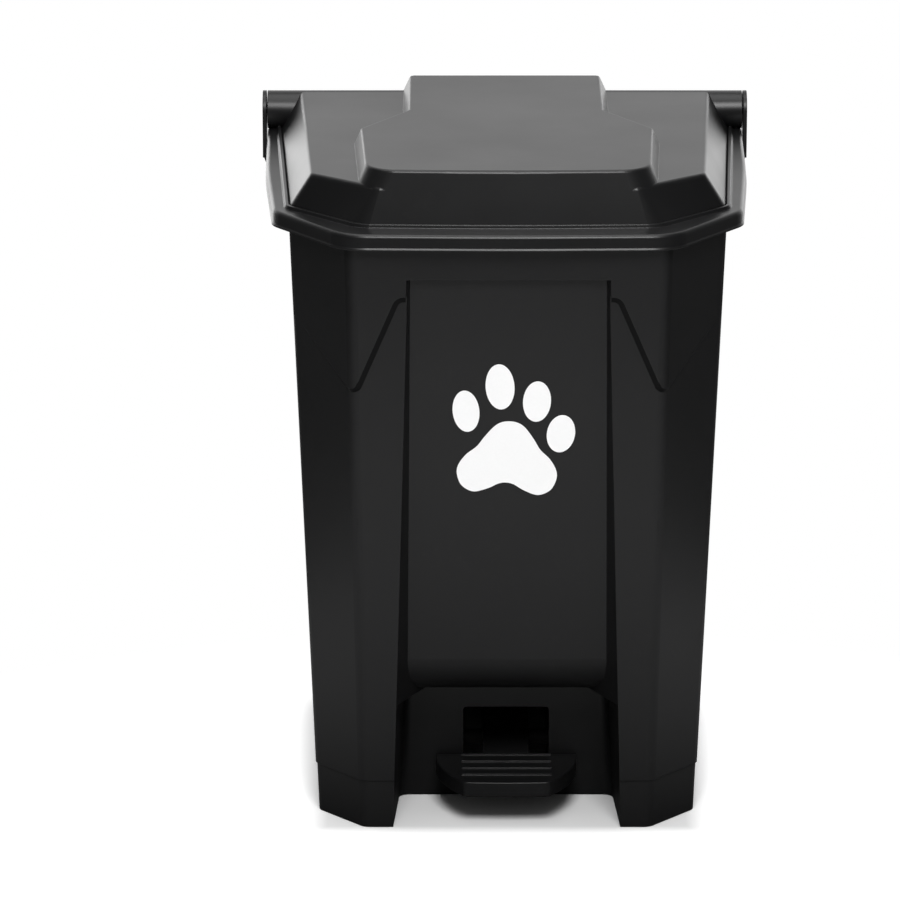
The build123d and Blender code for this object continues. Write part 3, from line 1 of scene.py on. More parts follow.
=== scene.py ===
"""Finishes of a step-on pail: satin moulded plastic, plated steel, white print and a pale studio."""

import math

import bmesh
import bpy
from bpy.props import FloatProperty, FloatVectorProperty, PointerProperty
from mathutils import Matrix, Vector


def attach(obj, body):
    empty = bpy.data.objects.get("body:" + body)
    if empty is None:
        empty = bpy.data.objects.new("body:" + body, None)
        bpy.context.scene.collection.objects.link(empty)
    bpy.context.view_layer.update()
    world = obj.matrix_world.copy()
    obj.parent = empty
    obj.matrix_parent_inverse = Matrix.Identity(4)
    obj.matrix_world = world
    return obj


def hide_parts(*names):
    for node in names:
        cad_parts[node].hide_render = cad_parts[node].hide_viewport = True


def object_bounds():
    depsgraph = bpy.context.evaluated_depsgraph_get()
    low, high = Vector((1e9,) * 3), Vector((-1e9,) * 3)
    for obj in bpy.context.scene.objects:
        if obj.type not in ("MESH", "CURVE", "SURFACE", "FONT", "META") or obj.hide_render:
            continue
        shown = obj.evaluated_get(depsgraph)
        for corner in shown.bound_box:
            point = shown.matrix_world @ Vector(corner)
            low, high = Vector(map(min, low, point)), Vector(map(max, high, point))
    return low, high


bl_info = {
    "name": "Step-on pail",
    "version": (1, 0, 0),
    "blender": (4, 5, 0),
    "location": "View3D > Sidebar > Pail",
    "description": "Finishes and studio of a step-on pail with a lift-out bucket",
    "category": "Object",
}

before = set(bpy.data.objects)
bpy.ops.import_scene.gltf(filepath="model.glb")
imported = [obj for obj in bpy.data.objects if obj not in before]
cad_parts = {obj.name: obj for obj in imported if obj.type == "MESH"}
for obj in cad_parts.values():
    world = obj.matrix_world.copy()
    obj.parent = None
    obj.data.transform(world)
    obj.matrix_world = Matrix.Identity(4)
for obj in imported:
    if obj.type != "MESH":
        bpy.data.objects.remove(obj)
CAD_BOX = [list(corner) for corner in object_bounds()]
IMAGE_PIXELS = 900
SENSOR_WIDTH_MM = 36.0

# Each softbox: the setting of its power, its size and its place, in metres.
SOFTBOXES = {
    "top_softbox": ("top_power", 1.6, (-0.1, 0.15, 2.4)),
    "left_edge_softbox": ("left_power", 1.2, (-1.1, 2.1, 0.45)),
    "right_edge_softbox": ("right_power", 1.2, (1.1, 2.1, 0.45)),
    "front_softbox": ("front_power", 1.1, (0.1, -1.9, 2.3)),
}
# The floor's fade into the room, as shares of its radius, and how far it lies under the feet, in metres.
FLOOR_FADE = (0.75, 0.98)
FLOOR_DROP = 0.0004
FLOOR_CORNERS = 128
# Where the white backdrop starts and is full, along Y and Z of a direction.
BACKDROP_DEPTH = (0.35, 0.85)
BACKDROP_HEIGHT = (-0.3, -0.1)

# Sizes of patterns, as repeats in a metre.
CLOUDS_PER_METRE = 9.0
MARKS_PER_METRE = 140.0
WORN_AREAS_PER_METRE = 16.0
DRAWN_LINES_PER_METRE = 900.0
# Ranges of noise that count as a rubbed spot, a worn area and a rubbed edge.
SPOT_RANGE = (0.52, 0.7)
AREA_RANGE = (0.45, 0.65)
EDGE_RANGE = (0.35, 0.6)
SPOT_SHARE = 0.35
# Dot products of true and rounded normal on a flat face and on a sharp edge.
EDGE_DOTS = (0.995, 0.85)
GLOSS_SWING = 0.10
SPANGLE_GLOSS_SWING = 0.12
# Each bump: its strength and, where no setting gives it, its depth in metres.
GRAIN_STRENGTH = 0.5
STEEL_BUMP = (0.25, 0.00005)
INK_BUMP = (0.2, 0.00003)
# Tones as factors of a material's colour.
CLOUD_TONES = (0.8, 1.2)
WORN_TONE = (2.5, 0.01)
SPANGLE_TONE = 0.86
INK_TONE = 0.96
# The band's slant is darker than the body's plastic: painted shade on its downward step face.
SLANT_SHADE_TONE = 0.6
# Indices of refraction of the plastics; the lower ones keep the band's slant and the foot plate dull.
PLASTIC_IOR = 1.42
TREAD_IOR = 1.3
SLANT_IOR = 1.2
INK_RANGE = (0.3, 0.7)
INK_GLOSS_SWING = 0.03
BLACK = (0.0, 0.0, 0.0)
# Sockets of a colour mix node.
MIX_FACTOR = 0
MIX_COLOURS = (6, 7)
MIX_RESULT = 2

# Front of the outer body, in metres: its depth at the floor, its lean, and where and how its corner
# turns back.
FRONT_DEPTH = -0.172
FRONT_LEAN = -0.0458
CORNER_START = 0.128
CORNER_END = 0.1351
CORNER_BEND = 96.6
CORNER_SLOPE = 1.35
BAND_STEP = 0.002
BAND_STEP_END = 0.17656
# Lower edge of the raised band: two arcs, each with its centre, radius, angles and the side that it faces.
BAND_BEND = ((0.08781, 0.4689), 0.010, (90.0, 23.2), -1.0)
BAND_TIP = ((0.1326, 0.40244), 0.005, (203.2, 316.4), 1.0)
ARC_STEPS = 10
SLANT_WIDTH = 0.0046
SLANT_END_WIDTH = 0.0008
SLANT_BURIED = 0.0006
SLANT_START = 0.0862
SLANT_HIDDEN_SHARE = 0.9
SLANT_TOP_SHARE = 0.98
SLANT_FOOT = 0.00002

# Printed paw, in metres: its middle on the front panel, the panel's outward direction and the print's tilt.
PAW_MIDDLE = (0.0, -0.176650, 0.333600)
PAW_OUTWARD = (0.0, -0.996482, -0.083804)
PAW_TILT = -3.5
PRINT_THICKNESS = 0.000300
PRINT_BURIED = 0.0001
# Right half of the pad's outline, from its top to its notch.
PAD_HALF = (
    (0.0, 0.0332), (0.0075, 0.0318), (0.0135, 0.0276), (0.0208, 0.0183), (0.0270, 0.0090),
    (0.0356, 0.0010), (0.0415, -0.0085), (0.0422, -0.0170), (0.0377, -0.0270), (0.0275, -0.0320),
    (0.0155, -0.0285), (0.0065, -0.0236), (0.0, -0.0223),
)
# Each toe: its middle, its half width and half height, and its lean in degrees.
TOES = (
    (-0.03550, 0.04230, 0.01130, 0.01860, 6.0),
    (-0.00680, 0.06420, 0.01220, 0.02030, 4.0),
    (0.02440, 0.05100, 0.01180, 0.01820, -4.0),
    (0.04480, 0.02200, 0.01190, 0.01690, -9.0),
)
CURVE_STEPS = 8
TOE_STEPS = 48


# ---------------------------------------------------------------- settings


def colour(name, description, value):
    """A colour that a user may change."""
    return FloatVectorProperty(
        name=name, description=description, default=value, subtype="COLOR", size=3, min=0.0, max=1.0
    )


def factor(name, description, value, high=1.0):
    """A number without a unit."""
    return FloatProperty(
        name=name, description=description, default=value, subtype="FACTOR", min=0.0, max=high
    )


def length(name, description, value, high=10.0):
    """A length in metres."""
    return FloatProperty(
        name=name, description=description, default=value, subtype="DISTANCE", unit="LENGTH",
        min=0.0, max=high, precision=5,
    )


def power(name, description, value):
    """A lamp's power in watts."""
    return FloatProperty(name=name, description=description, default=value, min=0.0, subtype="POWER")


class PailPlasticSettings(bpy.types.PropertyGroup):
    """Colours and surfaces of the moulded plastics."""

    body_colour: colour("Body", "Colour of the outer body", (0.0055, 0.0055, 0.0058))
    lid_colour: colour("Lid", "Colour of the lid", (0.0060, 0.0060, 0.0063))
    tread_colour: colour("Foot plate", "Colour of the foot plate", (0.0060, 0.0060, 0.0063))
    bucket_colour: colour("Bucket", "Colour of the inner bucket", (0.009, 0.009, 0.0095))
    bearing_colour: colour("Small parts", "Colour of bushes, pins and the rod guide", (0.018, 0.018, 0.0185))
    body_roughness: factor("Body roughness", "Roughness of the satin body", 0.40)
    lid_roughness: factor("Lid roughness", "Roughness of the satin lid", 0.36)
    tread_roughness: factor("Foot plate roughness", "Roughness of the foot plate", 0.34)
    bucket_roughness: factor("Bucket roughness", "Roughness of the grained bucket", 0.48)
    grain_size: length("Grain size", "Size of the mould's spark grain", 0.0009, 0.01)
    grain_depth: length("Grain depth", "Depth of the mould's spark grain", 0.00002, 0.001)
    edge_radius: length("Edge radius", "Rounding of the moulded edges", 0.0011, 0.01)


class PailSteelSettings(bpy.types.PropertyGroup):
    """Colours and surfaces of the metal pieces."""

    zinc_colour: colour("Zinc", "Colour of zinc plated steel", (0.55, 0.56, 0.58))
    wire_colour: colour("Wire", "Colour of the bright wire", (0.72, 0.72, 0.74))
    paint_colour: colour("Paint", "Colour of the lever's baked paint", (0.012, 0.012, 0.0125))
    paint_roughness: factor("Paint roughness", "Roughness of the lever's baked paint", 0.3)
    zinc_roughness: factor("Zinc roughness", "Roughness of the plated sheet", 0.34)
    wire_roughness: factor("Wire roughness", "Roughness of the drawn wire", 0.22)
    spangle_size: length("Spangle size", "Size of the crystals in the zinc", 0.006, 0.1)


class PailPrintSettings(bpy.types.PropertyGroup):
    """The white print."""

    print_colour: colour("Print", "Colour of the print", (0.93, 0.93, 0.93))
    print_roughness: factor("Print roughness", "Roughness of the ink", 0.42)
    ink_size: length("Ink mottle", "Size of the faint mottle in the ink", 0.002, 0.1)


class PailStageSettings(bpy.types.PropertyGroup):
    """Camera, floor and lights."""

    camera_side: FloatProperty(
        name="Camera side", description="Camera's place along X", default=-0.049, subtype="DISTANCE",
        unit="LENGTH", precision=4,
    )
    camera_back: length("Camera distance", "Camera's distance in front of the origin", 4.9725, 20.0)
    camera_height: length("Camera height", "Camera's height over the floor", 1.7339, 10.0)
    camera_pitch: FloatProperty(
        name="Camera pitch", description="How far the camera looks down", default=math.radians(16.2),
        subtype="ANGLE", unit="ROTATION",
    )
    focal_pixels: FloatProperty(
        name="Focal length", description="Focal length in pixels of the square image", default=5900.0,
        min=100.0,
    )
    floor_radius: length("Floor radius", "Radius of the pale floor", 0.9, 10.0)
    floor_forward: length("Floor forward", "How far the floor's middle lies in front of the pail", 0.5, 10.0)
    floor_colour: colour("Floor", "Colour of the floor", (0.80, 0.80, 0.80))
    floor_lift: factor("Floor lift", "How much the floor glows towards the camera, outside the shadow", 0.62)
    # Painted contact shadow: the floor's glow is left out over these halves and fades in over the shade
    # reach around them.
    foot_half_width: length("Foot half width", "Half the width that the pail shades fully", 0.155, 1.0)
    foot_half_depth: length("Foot half depth", "Half the depth that the pail shades fully", 0.168, 1.0)
    painted_shadow_reach: length("Shade reach", "Width of the soft dark edge around the pail's foot", 0.03, 1.0)
    # Painted shade seen only in reflections: the floor is darker near the pail for glossy rays.
    reflected_shade_reach: length("Dim reach", "How far the floor is dimmer in reflections around the pail", 0.7, 5.0)
    reflected_floor_shade: factor("Dim floor", "Brightness of the floor at the pail's foot in reflections", 0.07)
    top_power: power("Top light", "Power of the softbox overhead", 22.0)
    left_power: power("Left light", "Power of the softbox behind, at the left", 9.0)
    right_power: power("Right light", "Power of the softbox behind, at the right", 5.0)
    front_power: power("Front light", "Power of the softbox above the camera", 62.0)
    room_light: factor("Room light", "Brightness of the room around", 0.3)
    backdrop_gloss: factor("Backdrop gloss", "Brightness of the white backdrop in reflections", 1.0)
    room_gloss: factor("Room gloss", "Brightness of the rest of the room in reflections", 0.06)


# ---------------------------------------------------------------- surface effects that materials share


def new_group(name, inputs, outputs):
    """Empty node group with float inputs and typed outputs."""
    group = bpy.data.node_groups.new(name, "ShaderNodeTree")
    for label, value in inputs.items():
        socket = group.interface.new_socket(label, in_out="INPUT", socket_type="NodeSocketFloat")
        socket.default_value = value
    for label, kind in outputs.items():
        group.interface.new_socket(label, in_out="OUTPUT", socket_type=kind)
    entry = group.nodes.new("NodeGroupInput")
    leave = group.nodes.new("NodeGroupOutput")
    return group, entry, leave


def set_input(tree, socket, value):
    """Link an output socket to an input, or give the input a constant."""
    if isinstance(value, bpy.types.NodeSocket):
        tree.links.new(value, socket)
    else:
        socket.default_value = value


def maths(tree, operation, first, second, clamp=False):
    """A math node; each operand is a number or an output socket."""
    node = tree.nodes.new("ShaderNodeMath")
    node.operation = operation
    node.use_clamp = clamp
    for socket, operand in zip(node.inputs, (first, second)):
        set_input(tree, socket, operand)
    return node.outputs["Value"]


def place(tree, scale):
    """Object coordinates times a scale, so that a pattern keeps its size on every piece."""
    where = tree.nodes.new("ShaderNodeTexCoord")
    node = tree.nodes.new("ShaderNodeVectorMath")
    node.operation = "SCALE"
    tree.links.new(where.outputs["Object"], node.inputs[0])
    set_input(tree, node.inputs["Scale"], scale)
    return node.outputs["Vector"]


def noise(tree, vector, scale=1.0, detail=2.0, roughness=0.5):
    """Noise texture's value at a vector."""
    node = tree.nodes.new("ShaderNodeTexNoise")
    node.inputs["Scale"].default_value = scale
    node.inputs["Detail"].default_value = detail
    node.inputs["Roughness"].default_value = roughness
    tree.links.new(vector, node.inputs["Vector"])
    return node.outputs["Fac"]


def remap(tree, value, low, high, to_low=0.0, to_high=1.0):
    """Clamped linear change of range."""
    node = tree.nodes.new("ShaderNodeMapRange")
    tree.links.new(value, node.inputs["Value"])
    for label, number in (("From Min", low), ("From Max", high), ("To Min", to_low), ("To Max", to_high)):
        node.inputs[label].default_value = number
    return node.outputs["Result"]


def spark_grain_group():
    """Fine pebbled grain of a spark-eroded mould, with slow changes of gloss over the surface."""
    group, entry, leave = new_group(
        "spark_grain",
        {"Size": 0.001, "Roughness": 0.4, "Variation": 0.05},
        {"Height": "NodeSocketFloat", "Roughness": "NodeSocketFloat", "Cloud": "NodeSocketFloat"},
    )
    per_metre = maths(group, "DIVIDE", 1.0, entry.outputs["Size"])
    fine = place(group, per_metre)
    pebbles = group.nodes.new("ShaderNodeTexVoronoi")
    pebbles.feature = "SMOOTH_F1"
    pebbles.inputs["Scale"].default_value = 1.0
    pebbles.inputs["Smoothness"].default_value = 0.7
    group.links.new(fine, pebbles.inputs["Vector"])
    ripples = noise(group, fine, 0.45, 3.0, 0.6)
    height = maths(group, "ADD", maths(group, "MULTIPLY", pebbles.outputs["Distance"], 0.6), ripples)
    cloud = noise(group, place(group, CLOUDS_PER_METRE), 1.0, 3.0, 0.55)
    swing = maths(group, "MULTIPLY", maths(group, "SUBTRACT", cloud, 0.5), entry.outputs["Variation"])
    group.links.new(height, leave.inputs["Height"])
    group.links.new(maths(group, "ADD", entry.outputs["Roughness"], swing, True), leave.inputs["Roughness"])
    group.links.new(cloud, leave.inputs["Cloud"])
    return group


def edge_group():
    """Softened normal at sharp moulded edges, and a mask of where those edges are."""
    group, entry, leave = new_group(
        "moulded_edge",
        {"Radius": 0.001},
        {"Normal": "NodeSocketVector", "Edge": "NodeSocketFloat"},
    )
    bevel = group.nodes.new("ShaderNodeBevel")
    bevel.samples = 8
    group.links.new(entry.outputs["Radius"], bevel.inputs["Radius"])
    surface = group.nodes.new("ShaderNodeNewGeometry")
    dot = group.nodes.new("ShaderNodeVectorMath")
    dot.operation = "DOT_PRODUCT"
    group.links.new(bevel.outputs["Normal"], dot.inputs[0])
    group.links.new(surface.outputs["Normal"], dot.inputs[1])
    group.links.new(bevel.outputs["Normal"], leave.inputs["Normal"])
    group.links.new(remap(group, dot.outputs["Value"], *EDGE_DOTS), leave.inputs["Edge"])
    return group


def scuff_group():
    """Faint rubbed marks, mostly on edges."""
    group, entry, leave = new_group(
        "rubbed_marks",
        {"Edge": 0.0, "Amount": 0.2},
        {"Mask": "NodeSocketFloat"},
    )
    marks = noise(group, place(group, MARKS_PER_METRE), 1.0, 4.0, 0.65)
    broad = noise(group, place(group, WORN_AREAS_PER_METRE), 1.0, 2.0, 0.5)
    spots = maths(group, "MULTIPLY", remap(group, marks, *SPOT_RANGE), remap(group, broad, *AREA_RANGE))
    on_edge = maths(group, "MULTIPLY", entry.outputs["Edge"], remap(group, marks, *EDGE_RANGE))
    both = maths(group, "MAXIMUM", maths(group, "MULTIPLY", spots, SPOT_SHARE), on_edge)
    group.links.new(maths(group, "MULTIPLY", both, entry.outputs["Amount"], True), leave.inputs["Mask"])
    return group


def spangle_group():
    """Crystals of hot zinc and the drawn lines of steel, as a height and a mask."""
    group, entry, leave = new_group(
        "zinc_spangle",
        {"Size": 0.006, "Roughness": 0.3},
        {"Height": "NodeSocketFloat", "Roughness": "NodeSocketFloat", "Tone": "NodeSocketFloat"},
    )
    cells = group.nodes.new("ShaderNodeTexVoronoi")
    cells.inputs["Scale"].default_value = 1.0
    group.links.new(place(group, maths(group, "DIVIDE", 1.0, entry.outputs["Size"])), cells.inputs["Vector"])
    tone = group.nodes.new("ShaderNodeSeparateColor")
    group.links.new(cells.outputs["Color"], tone.inputs["Color"])
    lines = noise(group, place(group, DRAWN_LINES_PER_METRE), 1.0, 2.0, 0.5)
    change = maths(group, "SUBTRACT", tone.outputs["Red"], 0.5)
    swing = maths(group, "MULTIPLY", change, SPANGLE_GLOSS_SWING)
    group.links.new(lines, leave.inputs["Height"])
    group.links.new(maths(group, "ADD", entry.outputs["Roughness"], swing, True), leave.inputs["Roughness"])
    group.links.new(tone.outputs["Green"], leave.inputs["Tone"])
    return group


GROUP_MAKERS = {
    "spark_grain": spark_grain_group,
    "moulded_edge": edge_group,
    "rubbed_marks": scuff_group,
    "zinc_spangle": spangle_group,
}


def use_group(tree, name, **values):
    """A group node of a shared effect, with numbers or sockets on its inputs."""
    node = tree.nodes.new("ShaderNodeGroup")
    node.node_tree = bpy.data.node_groups.get(name) or GROUP_MAKERS[name]()
    for label, value in values.items():
        set_input(tree, node.inputs[label], value)
    return node


# ---------------------------------------------------------------- materials


def new_material(name):
    """Node material with its Principled shader."""
    material = bpy.data.materials.new(name)
    material.use_nodes = True
    return material, material.node_tree, material.node_tree.nodes["Principled BSDF"]


def two_tone(tree, fac, *tones):
    """Colour between two, each a colour or an output socket."""
    node = tree.nodes.new("ShaderNodeMix")
    node.data_type = "RGBA"
    tree.links.new(fac, node.inputs[MIX_FACTOR])
    for index, tone in zip(MIX_COLOURS, tones):
        opaque = tone if isinstance(tone, bpy.types.NodeSocket) else (*tone, 1.0)
        set_input(tree, node.inputs[index], opaque)
    return node.outputs[MIX_RESULT]


def lighter(tone, times, plus=0.0):
    """A colour, lighter by a factor and an addition."""
    return [min(1.0, part * times + plus) for part in tone]


def bumped(tree, height, strength, depth, normal=None):
    """Normal of a surface bumped by a height."""
    node = tree.nodes.new("ShaderNodeBump")
    node.inputs["Strength"].default_value = strength
    node.inputs["Distance"].default_value = depth
    tree.links.new(height, node.inputs["Height"])
    if normal:
        tree.links.new(normal, node.inputs["Normal"])
    return node.outputs["Normal"]


def feed(tree, shader, tone, roughness, normal):
    """Link what varies over the surface to the shader."""
    for label, output in (("Base Color", tone), ("Roughness", roughness), ("Normal", normal)):
        tree.links.new(output, shader.inputs[label])


def moulded_plastic(name, tone, roughness, settings, wear=0.25, ior=PLASTIC_IOR):
    """Satin injection moulded plastic with spark grain, softened edges and faint rub marks."""
    material, tree, shader = new_material(name)
    grain = use_group(
        tree, "spark_grain", Size=settings.grain_size, Roughness=roughness, Variation=GLOSS_SWING
    )
    edge = use_group(tree, "moulded_edge", Radius=settings.edge_radius)
    marks = use_group(tree, "rubbed_marks", Edge=edge.outputs["Edge"], Amount=wear)
    clouded = two_tone(tree, grain.outputs["Cloud"], *(lighter(tone, times) for times in CLOUD_TONES))
    worn = two_tone(tree, marks.outputs["Mask"], clouded, lighter(tone, *WORN_TONE))
    normal = bumped(
        tree, grain.outputs["Height"], GRAIN_STRENGTH, settings.grain_depth, edge.outputs["Normal"]
    )
    feed(tree, shader, worn, grain.outputs["Roughness"], normal)
    shader.inputs["IOR"].default_value = ior
    return material


def plated_steel(name, tone, roughness, spangle_size):
    """Zinc plated or bright drawn steel."""
    material, tree, shader = new_material(name)
    spangle = use_group(tree, "zinc_spangle", Size=spangle_size, Roughness=roughness)
    tones = two_tone(tree, spangle.outputs["Tone"], lighter(tone, SPANGLE_TONE), tone)
    normal = bumped(tree, spangle.outputs["Height"], *STEEL_BUMP)
    feed(tree, shader, tones, spangle.outputs["Roughness"], normal)
    shader.inputs["Metallic"].default_value = 1.0
    return material


def ink(name, tone, roughness, mottle):
    """Screen printed ink with a faint mottle."""
    material, tree, shader = new_material(name)
    spots = noise(tree, place(tree, 1.0 / mottle))
    gloss = remap(tree, spots, *INK_RANGE, roughness - INK_GLOSS_SWING, roughness + INK_GLOSS_SWING)
    tones = two_tone(tree, spots, lighter(tone, INK_TONE), tone)
    feed(tree, shader, tones, gloss, bumped(tree, spots, *INK_BUMP))
    return material


def dress(material, *nodes):
    """Give CAD nodes one material."""
    for name in nodes:
        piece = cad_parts[name]
        if not piece.material_slots:
            raise RuntimeError(f"{name} has no material slot")
        for slot in piece.material_slots:
            slot.material = material


def finish_piece(name, work):
    """Object of a finished mesh."""
    mesh = bpy.data.meshes.new(name)
    work.to_mesh(mesh)
    work.free()
    piece = bpy.data.objects.new(name, mesh)
    bpy.context.scene.collection.objects.link(piece)
    return piece


# ---------------------------------------------------------------- slanted edge of the band


def front_depth(side, height):
    """Depth of the body's front at a distance from its middle, round its corner too."""
    turn = min(max(side - CORNER_START, 0.0), CORNER_END - CORNER_START)
    back = CORNER_BEND * turn**2 + CORNER_SLOPE * max(side - CORNER_END, 0.0)
    return FRONT_DEPTH + FRONT_LEAN * height + back


def band_step(side):
    """How far the band stands out from the front at a distance from its middle."""
    run = (BAND_STEP_END - side) / (BAND_STEP_END - CORNER_START)
    return BAND_STEP * min(run, 1.0)


def slant_stations():
    """Points on the band's lower edge, each with its outward direction and the width of the slant."""
    stations = [((SLANT_START, BAND_BEND[0][1] + BAND_BEND[1]), (0.0, -1.0), SLANT_WIDTH)]
    for centre, radius, angles, facing in (BAND_BEND, BAND_TIP):
        for step in range(ARC_STEPS + 1):
            share = step / ARC_STEPS
            angle = math.radians(angles[0] + (angles[1] - angles[0]) * share)
            away = (math.cos(angle), math.sin(angle))
            point = (centre[0] + radius * away[0], centre[1] + radius * away[1])
            narrowed = share if facing > 0 else 0.0
            width = SLANT_WIDTH + (SLANT_END_WIDTH - SLANT_WIDTH) * narrowed
            stations.append((point, (away[0] * facing, away[1] * facing), width))
    return stations


def slant_section(point, away, width):
    """Five corners of the slant's section at one station."""

    def corner(offset, lift):
        side = point[0] + away[0] * offset
        height = point[1] + away[1] * offset
        return (side, front_depth(side, height) - lift, height)

    step = band_step(point[0])
    return [
        corner(-SLANT_BURIED, step * SLANT_HIDDEN_SHARE),
        corner(0.0, step * SLANT_TOP_SHARE),
        corner(width, SLANT_FOOT),
        corner(width, -SLANT_BURIED),
        corner(-SLANT_BURIED, -SLANT_BURIED),
    ]


def make_slant(name, side):
    """Closed mesh of the slanted face along the band's lower edge on one side."""
    work = bmesh.new()
    rings = [
        [work.verts.new((side * x, y, z)) for x, y, z in slant_section(*station)]
        for station in slant_stations()
    ]
    for ring, following in zip(rings, rings[1:]):
        for first, second in zip(range(len(ring)), [*range(1, len(ring)), 0]):
            work.faces.new((ring[first], ring[second], following[second], following[first]))
    work.faces.new(rings[0])
    work.faces.new(rings[-1])
    bmesh.ops.recalc_face_normals(work, faces=work.faces)
    return finish_piece(name, work)


# ---------------------------------------------------------------- print


def smooth_outline(points):
    """Closed smooth curve through points, as a longer list of points."""
    curve = []
    for index, point in enumerate(points):
        before = points[index - 1]
        following = points[(index + 1) % len(points)]
        after = points[(index + 2) % len(points)]
        for step in range(CURVE_STEPS):
            t = step / CURVE_STEPS
            weights = (
                (-t + 2 * t**2 - t**3) / 2,
                (2 - 5 * t**2 + 3 * t**3) / 2,
                (t + 4 * t**2 - 3 * t**3) / 2,
                (t**3 - t**2) / 2,
            )
            near = (before, point, following, after)
            curve.append(tuple(sum(w * p[axis] for w, p in zip(weights, near)) for axis in (0, 1)))
    return curve


def turned(points, degrees, middle=(0.0, 0.0)):
    """Points turned about nought, then moved to a middle."""
    turn = math.radians(degrees)
    return [
        (
            middle[0] + x * math.cos(turn) - z * math.sin(turn),
            middle[1] + x * math.sin(turn) + z * math.cos(turn),
        )
        for x, z in points
    ]


def paw_outlines():
    """Outlines of the pad and the toes on the front panel."""
    left = [(-x, z) for x, z in reversed(PAD_HALF[1:-1])]
    outlines = [turned(smooth_outline([*PAD_HALF, *left]), PAW_TILT)]
    for x, z, half_width, half_height, lean in TOES:
        turns = [2 * math.pi * step / TOE_STEPS for step in range(TOE_STEPS)]
        oval = [(half_width * math.cos(turn), half_height * math.sin(turn)) for turn in turns]
        outlines.append(turned(oval, lean, (x, z)))
    return outlines


def make_paw(name):
    """Thin closed mesh of the printed paw."""
    outward = Vector(PAW_OUTWARD)
    upward = outward.cross(Vector((1.0, 0.0, 0.0)))
    work = bmesh.new()
    for outline in paw_outlines():
        flat = [Vector(PAW_MIDDLE) + Vector((x, 0.0, 0.0)) + upward * z for x, z in outline]
        front = [work.verts.new(point + outward * PRINT_THICKNESS) for point in flat]
        back = [work.verts.new(point - outward * PRINT_BURIED) for point in flat]
        work.faces.new(front)
        work.faces.new(back)
        for first, second in zip(range(len(flat)), [*range(1, len(flat)), 0]):
            work.faces.new((front[first], front[second], back[second], back[first]))
    bmesh.ops.recalc_face_normals(work, faces=work.faces)
    return finish_piece(name, work)


# ---------------------------------------------------------------- operators


class PAIL_OT_body(bpy.types.Operator):
    """Satin black plastic of the outer body."""

    bl_idname = "pail.body"
    bl_label = "Outer body"

    def execute(self, context):
        plastic = context.scene.pail_plastic
        body = moulded_plastic("body_plastic", plastic.body_colour, plastic.body_roughness, plastic)
        dress(body, "outer_body")
        return {"FINISHED"}


class PAIL_OT_band(bpy.types.Operator):
    """Slanted lower edge of the raised band, in a darker plastic that paints the shade on its downward face.
    """

    bl_idname = "pail.band"
    bl_label = "Band edge"

    def execute(self, context):
        plastic = context.scene.pail_plastic
        # Darker plastic on the slant: painted shade on the band's downward step face.
        material = moulded_plastic(
            "band_edge_plastic",
            lighter(plastic.body_colour, SLANT_SHADE_TONE),
            plastic.bucket_roughness,
            plastic,
            ior=SLANT_IOR,
        )
        for name, side in (("band_edge_left", -1.0), ("band_edge_right", 1.0)):
            piece = make_slant(name, side)
            piece.data.materials.append(material)
            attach(piece, "shell")
        return {"FINISHED"}


class PAIL_OT_lid(bpy.types.Operator):
    """Satin black plastic of the lid."""

    bl_idname = "pail.lid"
    bl_label = "Lid"

    def execute(self, context):
        plastic = context.scene.pail_plastic
        dress(moulded_plastic("lid_plastic", plastic.lid_colour, plastic.lid_roughness, plastic), "lid")
        return {"FINISHED"}


class PAIL_OT_pedal(bpy.types.Operator):
    """Foot plate, its lever and its screws."""

    bl_idname = "pail.pedal"
    bl_label = "Foot plate and lever"

    def execute(self, context):
        plastic = context.scene.pail_plastic
        steel = context.scene.pail_steel
        tread = moulded_plastic(
            "tread_plastic", plastic.tread_colour, plastic.tread_roughness, plastic, ior=TREAD_IOR
        )
        paint = moulded_plastic("black_paint", steel.paint_colour, steel.paint_roughness, plastic, wear=0.5)
        zinc = plated_steel("zinc_screw", steel.zinc_colour, steel.zinc_roughness, steel.spangle_size)
        dress(tread, "pedal_tread")
        dress(paint, "pedal_lever")
        dress(zinc, "tread_screws")
        return {"FINISHED"}


class PAIL_OT_linkage(bpy.types.Operator):
    """Pivot rod, push rod, hinge pins and what holds them."""

    bl_idname = "pail.linkage"
    bl_label = "Linkage"

    def execute(self, context):
        plastic = context.scene.pail_plastic
        steel = context.scene.pail_steel
        bearing = moulded_plastic(
            "bearing_plastic", plastic.bearing_colour, plastic.bucket_roughness, plastic, wear=0.1
        )
        wire = plated_steel("drawn_wire", steel.wire_colour, steel.wire_roughness, steel.spangle_size)
        clips = plated_steel("spring_clip", steel.zinc_colour, steel.zinc_roughness, steel.spangle_size)
        dress(bearing, "hinge_pin_left", "hinge_pin_right", "pivot_bushes", "rod_guide")
        dress(wire, "pedal_pivot_rod", "push_rod")
        dress(clips, "pivot_rod_clips", "push_rod_clip_lower", "push_rod_clip_upper", "guide_screws")
        return {"FINISHED"}


class PAIL_OT_bucket(bpy.types.Operator):
    """Inner bucket, its bail and the bail's bushes."""

    bl_idname = "pail.bucket"
    bl_label = "Inner bucket"

    def execute(self, context):
        plastic = context.scene.pail_plastic
        steel = context.scene.pail_steel
        bucket = moulded_plastic("bucket_plastic", plastic.bucket_colour, plastic.bucket_roughness, plastic)
        bush = moulded_plastic("bush_plastic", plastic.bearing_colour, plastic.bucket_roughness, plastic)
        bail = plated_steel("bail_wire", steel.wire_colour, steel.wire_roughness, steel.spangle_size)
        dress(bucket, "inner_bucket")
        dress(bush, "bail_bush_left", "bail_bush_right")
        dress(bail, "bail_handle")
        return {"FINISHED"}


class PAIL_OT_print(bpy.types.Operator):
    """White paw printed on the front."""

    bl_idname = "pail.print"
    bl_label = "Print"

    def execute(self, context):
        settings = context.scene.pail_print
        piece = make_paw("paw_print")
        piece.data.materials.append(
            ink("white_ink", settings.print_colour, settings.print_roughness, settings.ink_size)
        )
        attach(piece, "shell")
        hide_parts("paw_decal")
        return {"FINISHED"}


